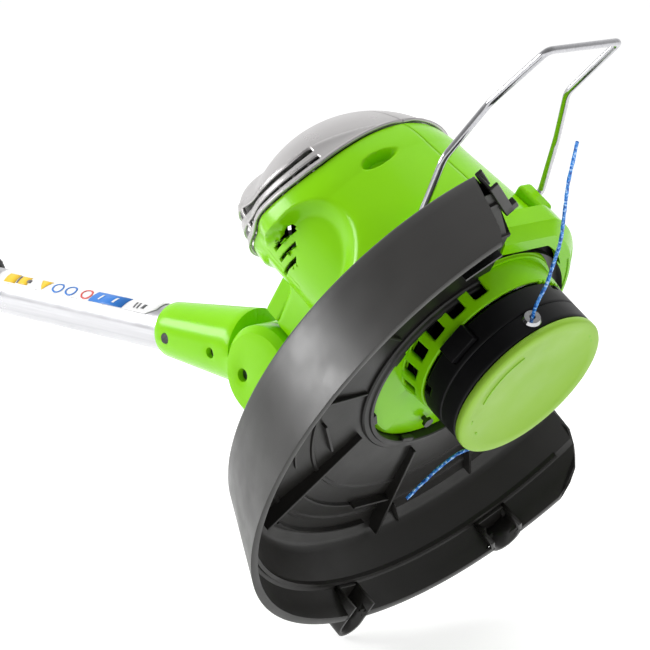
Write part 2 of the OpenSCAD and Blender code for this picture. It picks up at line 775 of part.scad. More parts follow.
module wave_spring() {
  color("#b9bcc0") on_head() {
    for (i = [0:2]) translate([0, 0, 8.3 + i*1.4]) tube(11, 8, 0.5);
    for (i = [0:1]) for (a = [0, 120, 240]) rotate(a + 60*i)
      translate([9.5, 0, 8.7 + i*1.4]) cylinder(r = 1, h = 1.1, $fn = 16);
  }
}

// Free ends of the line, in the head's frame.
long_route = [
  [37, -15, 11], [41.7, -16.9, 11], [47, -19, 11], [53, -21, 11], [60, -22, 11], [68, -23, 11],
  [76, -25, 11.5], [84, -27, 12], [92, -29, 12.5], [100, -32, 13], [108, -36, 13.5],
  [116, -40, 14], [124, -44, 14.5], [132, -48, 15], [140, -52, 15], [149, -56, 15], [161, -61, 15.5]];
short_route = [
  [-37, 15, 11], [-41.7, 16.9, 11], [-47, 19, 11], [-51, 20.3, 11.5], [-55, 20, 12.5],
  [-58.5, 17.5, 13.5], [-60.5, 13, 14.5], [-61.5, 8, 15], [-62.5, 3, 15.5], [-65, -2, 16],
  [-69, -7, 16], [-74, -12, 16], [-80, -16, 16], [-86, -20, 16], [-92.5, -23.5, 16]];
module line_end_long() { color("#2f86d8") on_head() sweep(long_route, line_d/2, 8, [0, 0, 1]); }
module line_end_short() { color("#2f86d8") on_head() sweep(short_route, line_d/2, 8, [0, 0, 1]); }

// --------------------------------------------------------------- guard
guard_from = 112;     // azimuth of the guard's left end
guard_sweep = 228;    // how far round it reaches
deck_hole_r = 62;
cutter_az = -36;       // the cutter stands by the guard's right end
cutter_r = 139;
cutter_screw_z = 32;
lug_places = [[-66, 0], [-22, 52.5]];
module about_guard() { translate([-guard_back, 0, 0]) children(); }
module guard_wall() {
  about_guard() rotate(guard_from) rotate_extrude(angle = guard_sweep, $fn = 180)
    polygon([[rim_r, rim_z], [rim_r - 4, rim_z], [rim_r - 10, 25], [rim_r - 12.5, 26],
      [shoulder_r - 4, 50], [shoulder_r - 22, 51], [74, 45.2], [40, 45.2], [40, 48], [74, 48],
      [shoulder_r - 22, 54.5], [shoulder_r - 4, shoulder_z], [shoulder_r, shoulder_z]]);
}
// A nose that stands out of the skirt, open towards the inside.
module foot(az, axis_r, r) {
  intersection() {
    about_guard() rotate(az) translate([axis_r, 0, rim_z]) {
      cylinder(r = r, h = 17);
      block([-20, -r, 0], [0, r, 17]);
    }
    about_guard() translate([0, 0, rim_z]) tube(200, rim_r - 10, 30);
  }
}
module foot_channel(az, axis_r, r) {
  about_guard() rotate(az) translate([axis_r, 0, rim_z]) {
    translate([0, 0, -1]) cylinder(r = r, h = 16);
    block([-22, -r, -1], [0, r, 15]);
  }
}
foot_wall = 2.4;
other_foot = [145, 154.5, 11];  // azimuth, axis radius, nose radius
module guard() {
  color("#4a4746") on_head() difference() {
    union() {
      guard_wall();
      foot(foot_az, foot_axis_r, foot_r);
      foot(other_foot[0], other_foot[1], other_foot[2]);
      // Ribs under the deck.
      for (az = [-160, -122, -88, 165])
        about_guard() rotate(az) block([76, -1.2, 40], [shoulder_r - 14, 1.2, 50]);
      // Collar round the motor body's floor.
      translate([foot_x, 0, 43]) cylinder(r = deck_hole_r + 2.4, h = 5);
      // Boss that the line cutter is screwed to.
      about_guard() rotate(cutter_az) block([cutter_r + 1.4, -6, 27], [cutter_r + 9, 6, 37]);
      // Lip along the open edge.
      translate([70, -18, 45]) rotate(-48) block([10, -3, 0], [56, 0, 8]);
    }
    difference() {
      union() {
        translate([foot_x, 0, 20]) cylinder(r = deck_hole_r, h = 60);
        translate([0, 0, 20]) cylinder(r = 51.5, h = 60);
      }
      // Screw lugs reach in under the floor.
      for (p = lug_places) translate([p.x, p.y, 43]) cylinder(r = 6, h = 2.8);
      translate([-90, -6, 43]) cube([24, 12, 2.8]);
      translate([-28, 52, 43]) cube([12, 24, 2.8]);
    }
    for (p = lug_places) translate([p.x, p.y, 40]) cylinder(r = 1.7, h = 10);
    about_guard() rotate(cutter_az) translate([cutter_r, 0, cutter_screw_z]) rotate([0, 90, 0]) cylinder(r = 1.45, h = 7);
    foot_channel(foot_az, foot_axis_r, foot_r - foot_wall);
    foot_channel(other_foot[0], other_foot[1], other_foot[2] - foot_wall);
    guard_opening();
  }
}
// The open front of the guard: slanted ends and a straight edge to the collar.
module guard_opening() {
  about_guard() {
    rotate(-31.5) translate([0, 0, 15]) rotate([-23, 0, 0]) translate([90, 0, -60]) cube([200, 120, 160]);
    rotate(124) translate([0, 0, 15]) rotate([18, 0, 0]) translate([60, -120, -60]) cube([200, 120, 160]);
  }
  translate([0, 0, 20]) linear_extrude(60)
    polygon([[70, -18], [40, -18], [30, 20], [0, 50], [-30, 80], [-88.8, 122.7], [-60, 200], [200, 200], [220, -184.5]]);
}
module guard_screws() {
  color("#3a3a3c") on_head() for (p = lug_places) translate([p.x, p.y, 0]) {
    translate([0, 0, 42.9]) cylinder(r = 1.35, h = 7);
    translate([0, 0, 41]) cylinder(r = 3, h = 2);
  }
}
module line_cutter() {
  color("#8d9094") on_head() about_guard() rotate(cutter_az) difference() {
    block([cutter_r, -12, 12], [cutter_r + 1.4, 10, 37]);
    translate([cutter_r - 9, 0, cutter_screw_z]) rotate([0, 90, 0]) cylinder(r = 1.7, h = 20);
  }
}
module cutter_screws() {
  color("#3a3a3c") on_head() about_guard() rotate(cutter_az) translate([0, 0, cutter_screw_z]) rotate([0, 90, 0]) {
    translate([0, 0, cutter_r - 1.6]) cylinder(r = 3, h = 1.6);
    translate([0, 0, cutter_r - 0.1]) cylinder(r = 1.35, h = 6);
  }
}

// ---------------------------------------------------------- wire guard
wire_pivot = [57, 80];
wire_side = [
  [57, 38, 80], [57, 47, 80], [89.6, 43.9, 86.4], [122.2, 30.5, 87.1], [165.6, 28, 74]];
module wire_guard() {
  color("#d5d7da") on_head()
    sweep(eased(concat([for (p = wire_side) [p.x, -p.y, p.z]],
      [for (i = [4:-1:0]) wire_side[i]]), 4, 3), wire_r, 12, [0, 0, 1]);
}

handle_right();
handle_left();
handle_screws();
strap_eye();
soft_grip();
power_switch();
battery_terminals();
power_lead();
upper_tube();
collar_base();
collet();
clamp_upper();
clamp_lower();
clamp_screws();
aux_bolt();
trigger();
trigger_spring();
lock_button();
battery_case();
battery_cells();
battery_latch();
aux_handle();
aux_knob();
collar_ring();
guide_bush();
lower_tube();
tube_label();
head_lead();
socket_right();
socket_left();
socket_screws();
pivot_pin();
housing_right();
housing_left();
housing_screws();
top_cover_right();
top_cover_left();
motor_mount();
motor_can();
motor_bearings();
brush_cap();
motor_lead();
guard();
guard_screws();
line_cutter();
cutter_screws();
tilt_release();
wire_guard();
motor_shaft();
cooling_fan();
drum();
line_eyelets();
drum_cap();
wave_spring();
line_end_long();
line_end_short();
latch_right();
latch_left();
reel();
wound_line();
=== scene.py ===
"""Looks of a string trimmer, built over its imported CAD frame."""
import json
import math
from functools import lru_cache

import bmesh
import bpy
from mathutils import Matrix, Vector


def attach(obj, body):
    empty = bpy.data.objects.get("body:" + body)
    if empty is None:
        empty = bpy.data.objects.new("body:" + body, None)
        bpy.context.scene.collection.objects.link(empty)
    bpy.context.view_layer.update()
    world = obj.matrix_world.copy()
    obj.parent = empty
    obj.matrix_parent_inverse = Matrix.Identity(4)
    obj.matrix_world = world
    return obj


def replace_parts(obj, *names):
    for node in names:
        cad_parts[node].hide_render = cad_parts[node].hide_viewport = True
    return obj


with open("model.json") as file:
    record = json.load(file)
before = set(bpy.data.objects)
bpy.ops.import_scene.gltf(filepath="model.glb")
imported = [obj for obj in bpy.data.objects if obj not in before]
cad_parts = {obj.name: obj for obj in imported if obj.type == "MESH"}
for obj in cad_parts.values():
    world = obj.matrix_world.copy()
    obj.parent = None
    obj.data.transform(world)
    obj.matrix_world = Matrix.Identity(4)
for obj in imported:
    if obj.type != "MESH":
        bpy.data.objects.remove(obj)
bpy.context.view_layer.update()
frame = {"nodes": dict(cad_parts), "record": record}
NODES = frame["nodes"]

# The head's own frame, as in the CAD: z up the spool's axis from the cap.
TILT = math.radians(56)
HEAD = Vector((1.082, 0.0, 0.15855))
MM = 0.001
HEAD_TO_ROW = Matrix.Translation(HEAD) @ Matrix.Rotation(-TILT, 4, "Y") @ Matrix.Scale(MM, 4)
SHAFT_Z = 0.14715


def on_head(x, y, z):
    """A place in the head's frame, in mm, to one in the shared frame, in metres."""
    return HEAD_TO_ROW @ Vector((x, y, z))


# ------------------------------------------------------------------ camera
cam_data = bpy.data.cameras.new("camera")
cam_data.lens = 138.46
cam_data.sensor_width = 36
cam = bpy.data.objects.new("camera", cam_data)
bpy.context.scene.collection.objects.link(cam)
right = Vector((0.7100, 0.7042, -0.0040)).normalized()
back = Vector((0.688, -0.693, 0.217)).normalized()
up = back.cross(right).normalized()
right = up.cross(back).normalized()
cam.matrix_world = Matrix((
    (right.x, up.x, back.x, HEAD.x + 0.8070),
    (right.y, up.y, back.y, HEAD.y - 0.9632),
    (right.z, up.z, back.z, HEAD.z + 0.3120),
    (0, 0, 0, 1)))
bpy.context.scene.camera = cam


# --------------------------------------------------------------- materials
def material(name):
    m = bpy.data.materials.new(name)
    m.use_nodes = True
    nt = m.node_tree
    nt.nodes.clear()
    out = nt.nodes.new("ShaderNodeOutputMaterial")
    bsdf = nt.nodes.new("ShaderNodeBsdfPrincipled")
    nt.links.new(bsdf.outputs[0], out.inputs[0])
    return m, nt, bsdf


def node(nt, kind, **values):
    n = nt.nodes.new(kind)
    for key, value in values.items():
        if key in n.inputs:
            n.inputs[key].default_value = value
        else:
            setattr(n, key, value)
    return n


def coords(nt, scale=(1, 1, 1)):
    tc = nt.nodes.new("ShaderNodeTexCoord")
    mp = nt.nodes.new("ShaderNodeMapping")
    mp.inputs["Scale"].default_value = scale
    nt.links.new(tc.outputs["Object"], mp.inputs[0])
    return mp.outputs[0]


def noise(nt, vector, scale, detail=3.0, roughness=0.5):
    n = node(nt, "ShaderNodeTexNoise", Scale=scale, Detail=detail, Roughness=roughness)
    nt.links.new(vector, n.inputs["Vector"])
    return n.outputs["Fac"]


def ramp(nt, fac, stops):
    r = nt.nodes.new("ShaderNodeValToRGB")
    while len(r.color_ramp.elements) < len(stops):
        r.color_ramp.elements.new(0.5)
    for e, (pos, col) in zip(r.color_ramp.elements, stops):
        e.position = pos
        e.color = tuple(col) + (1,) if len(col) == 3 else (col[0],) * 3 + (1,)
    nt.links.new(fac, r.inputs[0])
    return r.outputs[0]


def paint(nt, bsdf, socket, fac, stops):
    nt.links.new(ramp(nt, fac, stops), bsdf.inputs[socket])


def bump(nt, bsdf, height, strength, distance):
    b = node(nt, "ShaderNodeBump", Strength=strength, Distance=distance)
    nt.links.new(height, b.inputs["Height"])
    nt.links.new(b.outputs[0], bsdf.inputs["Normal"])


def plastic(name, dark, light, rough, grain=900.0, grain_strength=0.05, coat=0.0, coat_rough=0.1,
            spec=0.5, metallic=0.0):
    """Moulded plastic: mottled colour, uneven gloss, a fine moulded grain."""
    m, nt, bsdf = material(name)
    v = coords(nt)
    paint(nt, bsdf, "Base Color", noise(nt, v, 14.0, 4), [(0.35, dark), (0.65, light)])
    paint(nt, bsdf, "Roughness", noise(nt, v, 60.0, 5), [(0.3, (rough * 0.85,)), (0.7, (rough * 1.15,))])
    bsdf.inputs["Coat Weight"].default_value = coat
    bsdf.inputs["Coat Roughness"].default_value = coat_rough
    bsdf.inputs["Specular IOR Level"].default_value = spec
    bsdf.inputs["Metallic"].default_value = metallic
    bump(nt, bsdf, noise(nt, v, grain, 2), grain_strength, 0.0002)
    return m


def metal(name, dark, light, rough, along=(1, 1, 1), strength=0.05):
    """Metal with fine marks drawn out along one axis."""
    m, nt, bsdf = material(name)
    v = coords(nt, along)
    f = noise(nt, v, 700.0, 3)
    paint(nt, bsdf, "Base Color", f, [(0.3, dark), (0.7, light)])
    paint(nt, bsdf, "Roughness", noise(nt, coords(nt), 40.0, 4), [(0.3, (rough * 0.8,)), (0.7, (rough * 1.25,))])
    bsdf.inputs["Metallic"].default_value = 1.0
    bump(nt, bsdf, f, strength, 0.0001)
    return m


GREEN = plastic("green_plastic", (0.215, 0.60, 0.001), (0.24, 0.645, 0.002), 0.22, 500.0, 0.012,
                coat=0.10, coat_rough=0.04, spec=0.14)
GREEN_CAP = plastic("cap_plastic", (0.25, 0.475, 0.03), (0.28, 0.51, 0.04), 0.42, spec=0.3)
SILVER = plastic("silver_plastic", (0.46, 0.445, 0.445), (0.52, 0.505, 0.505), 0.30, 1400.0, 0.06,
                 coat=0.1, coat_rough=0.2, metallic=0.7)
GUARD = plastic("guard_plastic", (0.0125, 0.0118, 0.0108), (0.018, 0.017, 0.0155), 0.36, 1300.0, 0.12, spec=0.42)
BLACK = plastic("black_plastic", (0.0035, 0.0035, 0.004), (0.006, 0.006, 0.0065), 0.45, 900.0, 0.08, spec=0.22)
RUBBER = plastic("rubber", (0.010, 0.010, 0.011), (0.018, 0.018, 0.019), 0.75, 500.0, 0.35)
WHITE = plastic("acetal", (0.70, 0.69, 0.65), (0.78, 0.77, 0.74), 0.35, 600.0, 0.05)
WRAP = plastic("cell_wrap", (0.05, 0.16, 0.32), (0.07, 0.20, 0.38), 0.25, 300.0, 0.1)
CABLE = plastic("cable", (0.012, 0.012, 0.013), (0.02, 0.02, 0.021), 0.5, 400.0, 0.1)
TUBE = metal("tube_aluminium", (0.56, 0.56, 0.58), (0.64, 0.64, 0.66), 0.33, (0.02, 1, 1), 0.04)
CHROME = metal("bright_wire", (0.46, 0.46, 0.48), (0.56, 0.56, 0.58), 0.12, (1, 1, 1), 0.02)
STEEL = metal("steel", (0.48, 0.49, 0.50), (0.60, 0.61, 0.62), 0.28)
DARK_STEEL = metal("dark_steel", (0.05, 0.05, 0.052), (0.10, 0.10, 0.10), 0.35)
BRASS = metal("brass", (0.60, 0.44, 0.16), (0.72, 0.55, 0.24), 0.25)

LINE, line_nt, line_bsdf = material("blue_line")
paint(line_nt, line_bsdf, "Base Color", noise(line_nt, coords(line_nt), 620.0, 2),
      [(0.38, (0.005, 0.06, 0.34)), (0.46, (0.02, 0.19, 0.62)), (0.55, (0.03, 0.26, 0.75)),
       (0.64, (0.42, 0.62, 0.90))])
line_bsdf.inputs["Roughness"].default_value = 0.3
bump(line_nt, line_bsdf, noise(line_nt, coords(line_nt), 1500.0, 2), 0.2, 0.0002)
CAP_MARK = plastic("cap_mark", (0.20, 0.46, 0.01), (0.24, 0.52, 0.015), 0.5, 900.0, 0.05)
LABEL = plastic("label_foil", (0.74, 0.74, 0.74), (0.82, 0.82, 0.81), 0.25, 300.0, 0.02)
YELLOW = plastic("label_yellow", (0.80, 0.50, 0.02), (0.88, 0.56, 0.03), 0.35, 300.0, 0.02)
BLUE = plastic("label_blue", (0.02, 0.16, 0.55), (0.03, 0.20, 0.62), 0.35, 300.0, 0.02)
RED = plastic("label_red", (0.62, 0.06, 0.05), (0.70, 0.08, 0.07), 0.35, 300.0, 0.02)
INK = plastic("label_ink", (0.10, 0.10, 0.11), (0.14, 0.14, 0.15), 0.4, 300.0, 0.02)

FINISH = {
    "green_shell": GREEN, "silver_cover": SILVER, "guard_plastic": GUARD, "black_plastic": BLACK,
    "black_rubber": RUBBER, "tube_aluminium": TUBE, "bright_wire": CHROME, "steel": STEEL,
    "dark_steel": DARK_STEEL, "brass": BRASS, "blue_line": WRAP, "white_plastic": WHITE,
    "label": WHITE, "cell_wrap": WRAP, "cable": CABLE}
SLOT = {p["node"]: p["material_slot"] for p in frame["record"]["subparts"]}


def dress(o, mat):
    o.data.materials.clear()
    o.data.materials.append(mat)


for name, o in NODES.items():
    dress(o, FINISH[SLOT[name]])
    o.data.polygons.foreach_set("use_smooth", [True] * len(o.data.polygons))
dress(NODES["drum_cap"], GREEN_CAP)
dress(NODES["line_cutter"], DARK_STEEL)


# ----------------------------------------------------------------- helpers
def link(name, data):
    o = bpy.data.objects.new(name, data)
    bpy.context.scene.collection.objects.link(o)
    return o


def piece(name, verts, faces, mat, body, slot, smooth=40, thick=0.0, bevel=0.0, weld=False):
    """A mesh given in metres, with its finish, its body and its modifiers."""
    me = bpy.data.meshes.new(name)
    me.from_pydata([tuple(v) for v in verts], [], faces)
    bm = bmesh.new()
    bm.from_mesh(me)
    if weld:
        bmesh.ops.remove_doubles(bm, verts=bm.verts, dist=0.00003)
    bmesh.ops.delete(bm, geom=[v for v in bm.verts if not v.link_faces], context="VERTS")
    bmesh.ops.recalc_face_normals(bm, faces=bm.faces)
    bm.to_mesh(me)
    bm.free()
    me.validate()
    o = link(name, me)
    dress(o, mat)
    me.polygons.foreach_set("use_smooth", [True] * len(me.polygons))
    if thick:
        mod = o.modifiers.new("thickness", "SOLIDIFY")
        mod.thickness = thick
        mod.offset = -1.0
    if bevel:
        mod = o.modifiers.new("edges", "BEVEL")
        mod.width = bevel
        mod.segments = 3
        mod.limit_method = "ANGLE"
        mod.angle_limit = math.radians(35)
        mod.harden_normals = True
    me.set_sharp_from_angle(angle=math.radians(smooth))
    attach(o, body)
    return o


def grid_faces(cols, rows):
    """Quads over a grid of vertices laid out row by row."""
    return [(j * cols + i, j * cols + i + 1, (j + 1) * cols + i + 1, (j + 1) * cols + i)
            for j in range(rows - 1) for i in range(cols - 1)]


def inside(poly, u, v):
    """Whether a place is inside a closed outline."""
    hit = False
    for i, (x1, y1) in enumerate(poly):
        x0, y0 = poly[i - 1]
        if (y0 > v) != (y1 > v) and u < (x1 - x0) * (v - y0) / (y1 - y0) + x0:
            hit = not hit
    return hit


def nearest(poly, u, v, su, sv):
    """Nearest place on a closed outline, with u and v in their own units."""
    best = (1e9, u, v)
    for i, (x1, y1) in enumerate(poly):
        x0, y0 = poly[i - 1]
        dx, dy = (x1 - x0) * su, (y1 - y0) * sv
        t = (((u - x0) * su) * dx + ((v - y0) * sv) * dy) / max(dx * dx + dy * dy, 1e-9)
        t = min(1.0, max(0.0, t))
        a, b = x0 + t * (x1 - x0), y0 + t * (y1 - y0)
        d = math.hypot((u - a) * su, (v - b) * sv)
        if d < best[0]:
            best = (d, a, b)
    return best


def open_faces(uv, cols, rows, holes):
    """The grid's quads whose middles are in none of the openings."""
    faces = []
    for q in grid_faces(cols, rows):
        cu, cv = sum(uv[k][0] for k in q) / 4, sum(uv[k][1] for k in q) / 4
        if not any(inside(poly, cu, cv) for poly in holes):
            faces.append(q)
    return faces


def caught(holes, u, v, su, sv, catch):
    """Moves a place to the outline of an opening that it is close to."""
    for poly in holes:
        d, x, y = nearest(poly, u, v, su, sv)
        if d < catch:
            return (x, y)
    return (u, v)


def sheet_grid(name, us, vs, place, mat, body, slot, holes, su, catch, **kw):
    """A surface over a grid of u and v, with openings whose edges the grid is drawn to."""
    cols, rows = len(us), len(vs)
    uv = [caught(holes, u, v, su, 1.0, catch) for v in vs for u in us]
    verts = [on_head(*place(a, b)) for a, b in uv]
    return piece(name, verts, open_faces(uv, cols, rows, holes), mat, body, slot, weld=True, **kw)


def span(a, b, n):
    """n even steps from a to b."""
    return [a + (b - a) * i / n for i in range(n + 1)]


def smooth(a, b, x):
    """0 to 1 as x goes from a to b, eased at both ends."""
    t = min(1.0, max(0.0, (x - a) / (b - a)))
    return t * t * (3 - 2 * t)


def runs(*parts):
    """Spans (a, b, n) joined end to end, each shared end given once."""
    out = []
    for a, b, n in parts:
        out += span(a, b, n)[(1 if out else 0):]
    return out


def along(points, x):
    """Height of a line of points, given in order of x."""
    if x <= points[0][0]:
        return points[0][1]
    for (x0, z0), (x1, z1) in zip(points, points[1:]):
        if x <= x1:
            return z0 + (z1 - z0) * (x - x0) / (x1 - x0)
    return points[-1][1]


def polar(az, r, z, cx=0.0):
    """A place by azimuth in degrees and radius about the axis at cx."""
    a = math.radians(az)
    return (cx + r * math.cos(a), r * math.sin(a), z)


BLOCK = [(0, 3, 2, 1), (4, 5, 6, 7), (0, 1, 5, 4), (1, 2, 6, 5), (2, 3, 7, 6), (3, 0, 4, 7)]


def box(name, low, high, mat, body, slot, bevel=0.0012, turn=0.0, about=(0, 0)):
    """A bevelled block between two corners in the head's frame, turned about z."""
    c, s = math.cos(math.radians(turn)), math.sin(math.radians(turn))
    vs = []
    for z in (low[2], high[2]):
        for x, y in ((low[0], low[1]), (high[0], low[1]), (high[0], high[1]), (low[0], high[1])):
            vs.append(on_head(about[0] + c * x - s * y, about[1] + s * x + c * y, z))
    return piece(name, vs, BLOCK, mat, body, slot, bevel=bevel)


def lathe(name, profile, mat, body, slot, start=0.0, end=360.0, step=2.5, cx=0.0, radius=None, **kw):
    """A profile of (r, z) turned about the axis at cx; radius(az, r) may reshape it."""
    n = max(2, round((end - start) / step))
    closed = end - start >= 359.9
    verts, faces = [], []
    m = len(profile)
    for i in range(n if closed else n + 1):
        az = start + (end - start) * i / n
        for r, z in profile:
            verts.append(on_head(*polar(az, radius(az, r) if radius else r, z, cx)))
    for i in range(n):
        k = (i + 1) % n if closed else i + 1
        for j in range(m - 1):
            faces.append((i * m + j, k * m + j, k * m + j + 1, i * m + j + 1))
    if kw.pop("cap", False):
        faces.append(tuple(range(m)))
        faces.append(tuple(n * m + j for j in reversed(range(m))))
    return piece(name, verts, faces, mat, body, slot, weld=True, **kw)


def unit_tangent(pts, i):
    return (pts[min(i + 1, len(pts) - 1)] - pts[max(i - 1, 0)]).normalized()


def tube_mesh(pts, section, turn=0.0, ref=Vector((0, 0, 1))):
    """Sweeps a section of (angle, radius) along points, turning it as it goes."""
    verts, faces = [], []
    n = len(section)
    for i, p in enumerate(pts):
        t = unit_tangent(pts, i)
        side = t.cross(ref).normalized()
        top = side.cross(t)
        for a, r in section:
            w = a + turn * i
            verts.append(p + r * (math.cos(w) * side + math.sin(w) * top))
    for i in range(len(pts) - 1):
        for k in range(n):
            a, b = i * n + k, i * n + (k + 1) % n
            faces.append((a, b, b + n, a + n))
    faces.append(tuple(reversed(range(n))))
    faces.append(tuple((len(pts) - 1) * n + k for k in range(n)))
    return verts, faces


def refine(pts, n):
    """A smooth line through points (Catmull-Rom), n steps between each pair."""
    out = []
    for i in range(len(pts) - 1):
        p0, p1, p2, p3 = pts[max(i - 1, 0)], pts[i], pts[i + 1], pts[min(i + 2, len(pts) - 1)]
        for k in range(n):
            t = k / n
            out.append(0.5 * ((2 * p1) + (p2 - p0) * t + (2 * p0 - 5 * p1 + 4 * p2 - p3) * t * t
                              + (3 * p1 - p0 - 3 * p2 + p3) * t ** 3))
    out.append(pts[-1])
    return out


# ----------------------------------------------------- free ends of the line
LONG = [(37, -15, 11), (41.7, -16.9, 11), (47, -19, 11), (53, -21, 11), (60, -22, 11), (68, -23, 11),
        (76, -25, 11.5), (84, -27, 12), (92, -29, 12.5), (100, -32, 13), (108, -36, 13.5), (116, -40, 14),
        (124, -44, 14.5), (132, -48, 15), (140, -52, 15), (149, -56, 15), (161, -61, 15.5)]
SHORT = [(-37, 15, 11), (-41.7, 16.9, 11), (-47, 19, 11), (-51, 20.3, 11.5), (-55, 20, 12.5),
         (-58.5, 17.5, 13.5), (-60.5, 13, 14.5), (-61.5, 8, 15), (-62.5, 3, 15.5), (-65, -2, 16),
         (-69, -7, 16), (-74, -12, 16), (-80, -16, 16), (-86, -20, 16), (-92.5, -23.5, 16)]
LINE_D = 0.002
for name, route in (("line_end_long", LONG), ("line_end_short", SHORT)):
    path = refine([on_head(*p) for p in route], 8)
    lobes = [(math.tau * k / 16, LINE_D / 2 * (1.0 - 0.16 * (k % 4 == 2) - 0.08 * (k % 4 in (1, 3))))
             for k in range(16)]
    vs, fs = tube_mesh(path, lobes, 0.16)
    line = piece(name + "_twisted", vs, fs, LINE, "spool", "blue_line")
    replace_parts(line, name)

# --------------------------------------------------------------- wire guard
BEND = 4  # how far before a corner the wire starts to bend
WIRE = [(57, 38, 80), (57, 47, 80), (89.6, 43.9, 86.4), (122.2, 30.5, 87.1), (165.6, 28, 74)]
corners = [Vector((x, -y, z)) for x, y, z in WIRE] + [Vector(p) for p in reversed(WIRE)]
bent = [corners[0]]
for i in range(1, len(corners) - 1):
    p = corners[i]
    a = p + (corners[i - 1] - p).normalized() * BEND
    b = p + (corners[i + 1] - p).normalized() * BEND
    bent += [(1 - w) ** 2 * a + 2 * w * (1 - w) * p + w * w * b for w in span(0, 1, 8)]
bent.append(corners[-1])
vs, fs = tube_mesh([on_head(*p) for p in bent], [(math.tau * k / 24, 0.002) for k in range(24)])
wire = piece("bent_wire", vs, fs, CHROME, "wire_guard", "bright_wire", smooth=60)
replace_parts(wire, "wire_guard")

# ------------------------------------------------------------ motor housing
# A place on it has an azimuth about its own axis and s, its height up to the
# dome's centre and the distance along the dome above that.
BODY_X = -10.0
DOME_Z, DOME_R = 128.0, 69
FOOT_R, BACK_R, WAIST_R = 75, 53, 58
SPLIT = [(-120, 192), (-60, 173.5), (-8.5, 157.5), (18, 150), (35, 145.6), (54, 146.5), (100, 152)]
BASE_Z = 52.0


def rear_reach(e):
    """Radius of the squarer rear shoulder at elevation e above the dome's centre."""
    lo, hi = 40.0, 76.0
    for _ in range(24):
        r = (lo + hi) / 2
        up_by = max(0.0, DOME_Z + r * math.sin(e) - 140) / 57
        if (r * math.cos(e) / BACK_R) ** 4.3 + up_by ** 4.3 > 1:
            hi = r
        else:
            lo = r
    return lo


REAR = [rear_reach(math.radians(k)) for k in range(0, 91)]


def outer_r(az, s):
    """Distance of the plain outer surface from the axis or the dome's centre."""
    back = smooth(85, 115, abs(az))
    if s <= DOME_Z:
        r = FOOT_R - (FOOT_R - DOME_R) * (s - BASE_Z) / (DOME_Z - BASE_Z)
        return r + (BACK_R - r) * (back * smooth(112, 124, s))
    e = math.degrees((s - DOME_Z) / DOME_R)
    k = min(89, int(e))
    rear = REAR[k] + (REAR[k + 1] - REAR[k]) * (e - k)
    return DOME_R + (rear - DOME_R) * back


def ray(az, s, r):
    """The place at r along the ray of an azimuth and s."""
    a = math.radians(az)
    if s <= DOME_Z:
        return (BODY_X + r * math.cos(a), r * math.sin(a), s)
    e = (s - DOME_Z) / DOME_R
    return (BODY_X + r * math.cos(e) * math.cos(a), r * math.cos(e) * math.sin(a), DOME_Z + r * math.sin(e))


def in_arch(x, z, cx, cz, r, top, low):
    """How far a place lies inside the arch and the hollow behind it."""
    d = r - math.hypot(x - cx, z - cz)
    if x < cx:
        d = max(d, min(along(top, x) - z, z - along(low, x)))
    return d


OUTER_TOP = [(-90, 176), (-62, 166), (-50, 161), (-27, 153.5), (-9, 147), (2, 143.5)]
OUTER_LOW = [(-90, 64), (-80, 65), (2, 82.5)]
INNER_TOP = [(-90, 168), (-62, 160), (-45, 155.5), (-27, 151), (-9, 145), (1, 139.5)]
INNER_LOW = [(-90, 73), (-80, 74), (1, 98.5)]


def waist_reach(az):
    """The waist is round about the spool's axis: its distance from the body's."""
    a = math.radians(az)
    return -BODY_X * math.cos(a) + math.sqrt(WAIST_R ** 2 - (BODY_X * math.sin(a)) ** 2)


def body_surface(az, s):
    """The housing's surface, with the hollow and the screw's pit."""
    r = outer_r(az, s)
    x, y, z = ray(az, s, r)
    out = in_arch(x, z, 2, 113, 30.5, OUTER_TOP, OUTER_LOW)
    if out > 0 and abs(az) > 50:
        inn = in_arch(x, z, 1, 119, 20.5, INNER_TOP, INNER_LOW)
        m = 1.0 if inn >= 0 else out / (out - inn)
        m = 0.35 * m + 0.65 * smooth(0, 1, m)
        waist = waist_reach(az)
        if s > DOME_Z:
            waist = min(waist / math.cos((s - DOME_Z) / DOME_R), r)
        r += (min(waist, r) - r) * m
    # Pit over the screw, seen square on from the side.
    pit = math.hypot((x - 51) / 4.6, (z - 129.5) / 4.1)
    if pit < 1.3 and y < 0:
        r -= 7.6 * smooth(1.12, 0.72, pit)
    return ray(az, s, r)


@lru_cache(None)
def split_at(az):
    """s of the cover's joint line at an azimuth."""
    lo, hi = DOME_Z - 20, DOME_Z + DOME_R * 1.2
    for _ in range(30):
        s = (lo + hi) / 2
        x, _, z = ray(az, s, outer_r(az, s))
        if z > (along(SPLIT, x - 12) + 2 * along(SPLIT, x) + along(SPLIT, x + 12)) / 4:
            hi = s
        else:
            lo = s
    return lo


def waist_az(az):
    """An azimuth about the spool's axis, on the waist, to one about the body's."""
    x, y = WAIST_R * math.cos(math.radians(az)), WAIST_R * math.sin(math.radians(az))
    return math.degrees(math.atan2(y, x - BODY_X))


def path_height(az, z):
    """s of a place on the waist at a height."""
    if z <= DOME_Z:
        return z
    return DOME_Z + DOME_R * math.atan((z - DOME_Z) / waist_reach(az))


JOINT_GAP = 0.15  # from either side to the cover's joint line
SHELL_ROWS = 156
# Outlines of the three vents: azimuth about the spool's axis, and height.
VENTS = [[(-113, 146.9), (-107, 145.1), (-99, 142.4), (-88, 138.5), (-90, 135.7), (-102, 140.3), (-114, 144.6)],
         [(-117, 141.6), (-111, 139.6), (-103, 136.7), (-95, 133.6), (-97, 131.4), (-108, 136.0), (-118, 139.4)],
         [(-126, 138.4), (-118, 135.8), (-111, 133), (-102, 129.4), (-106, 128), (-116, 132.4), (-127, 135.8)]]


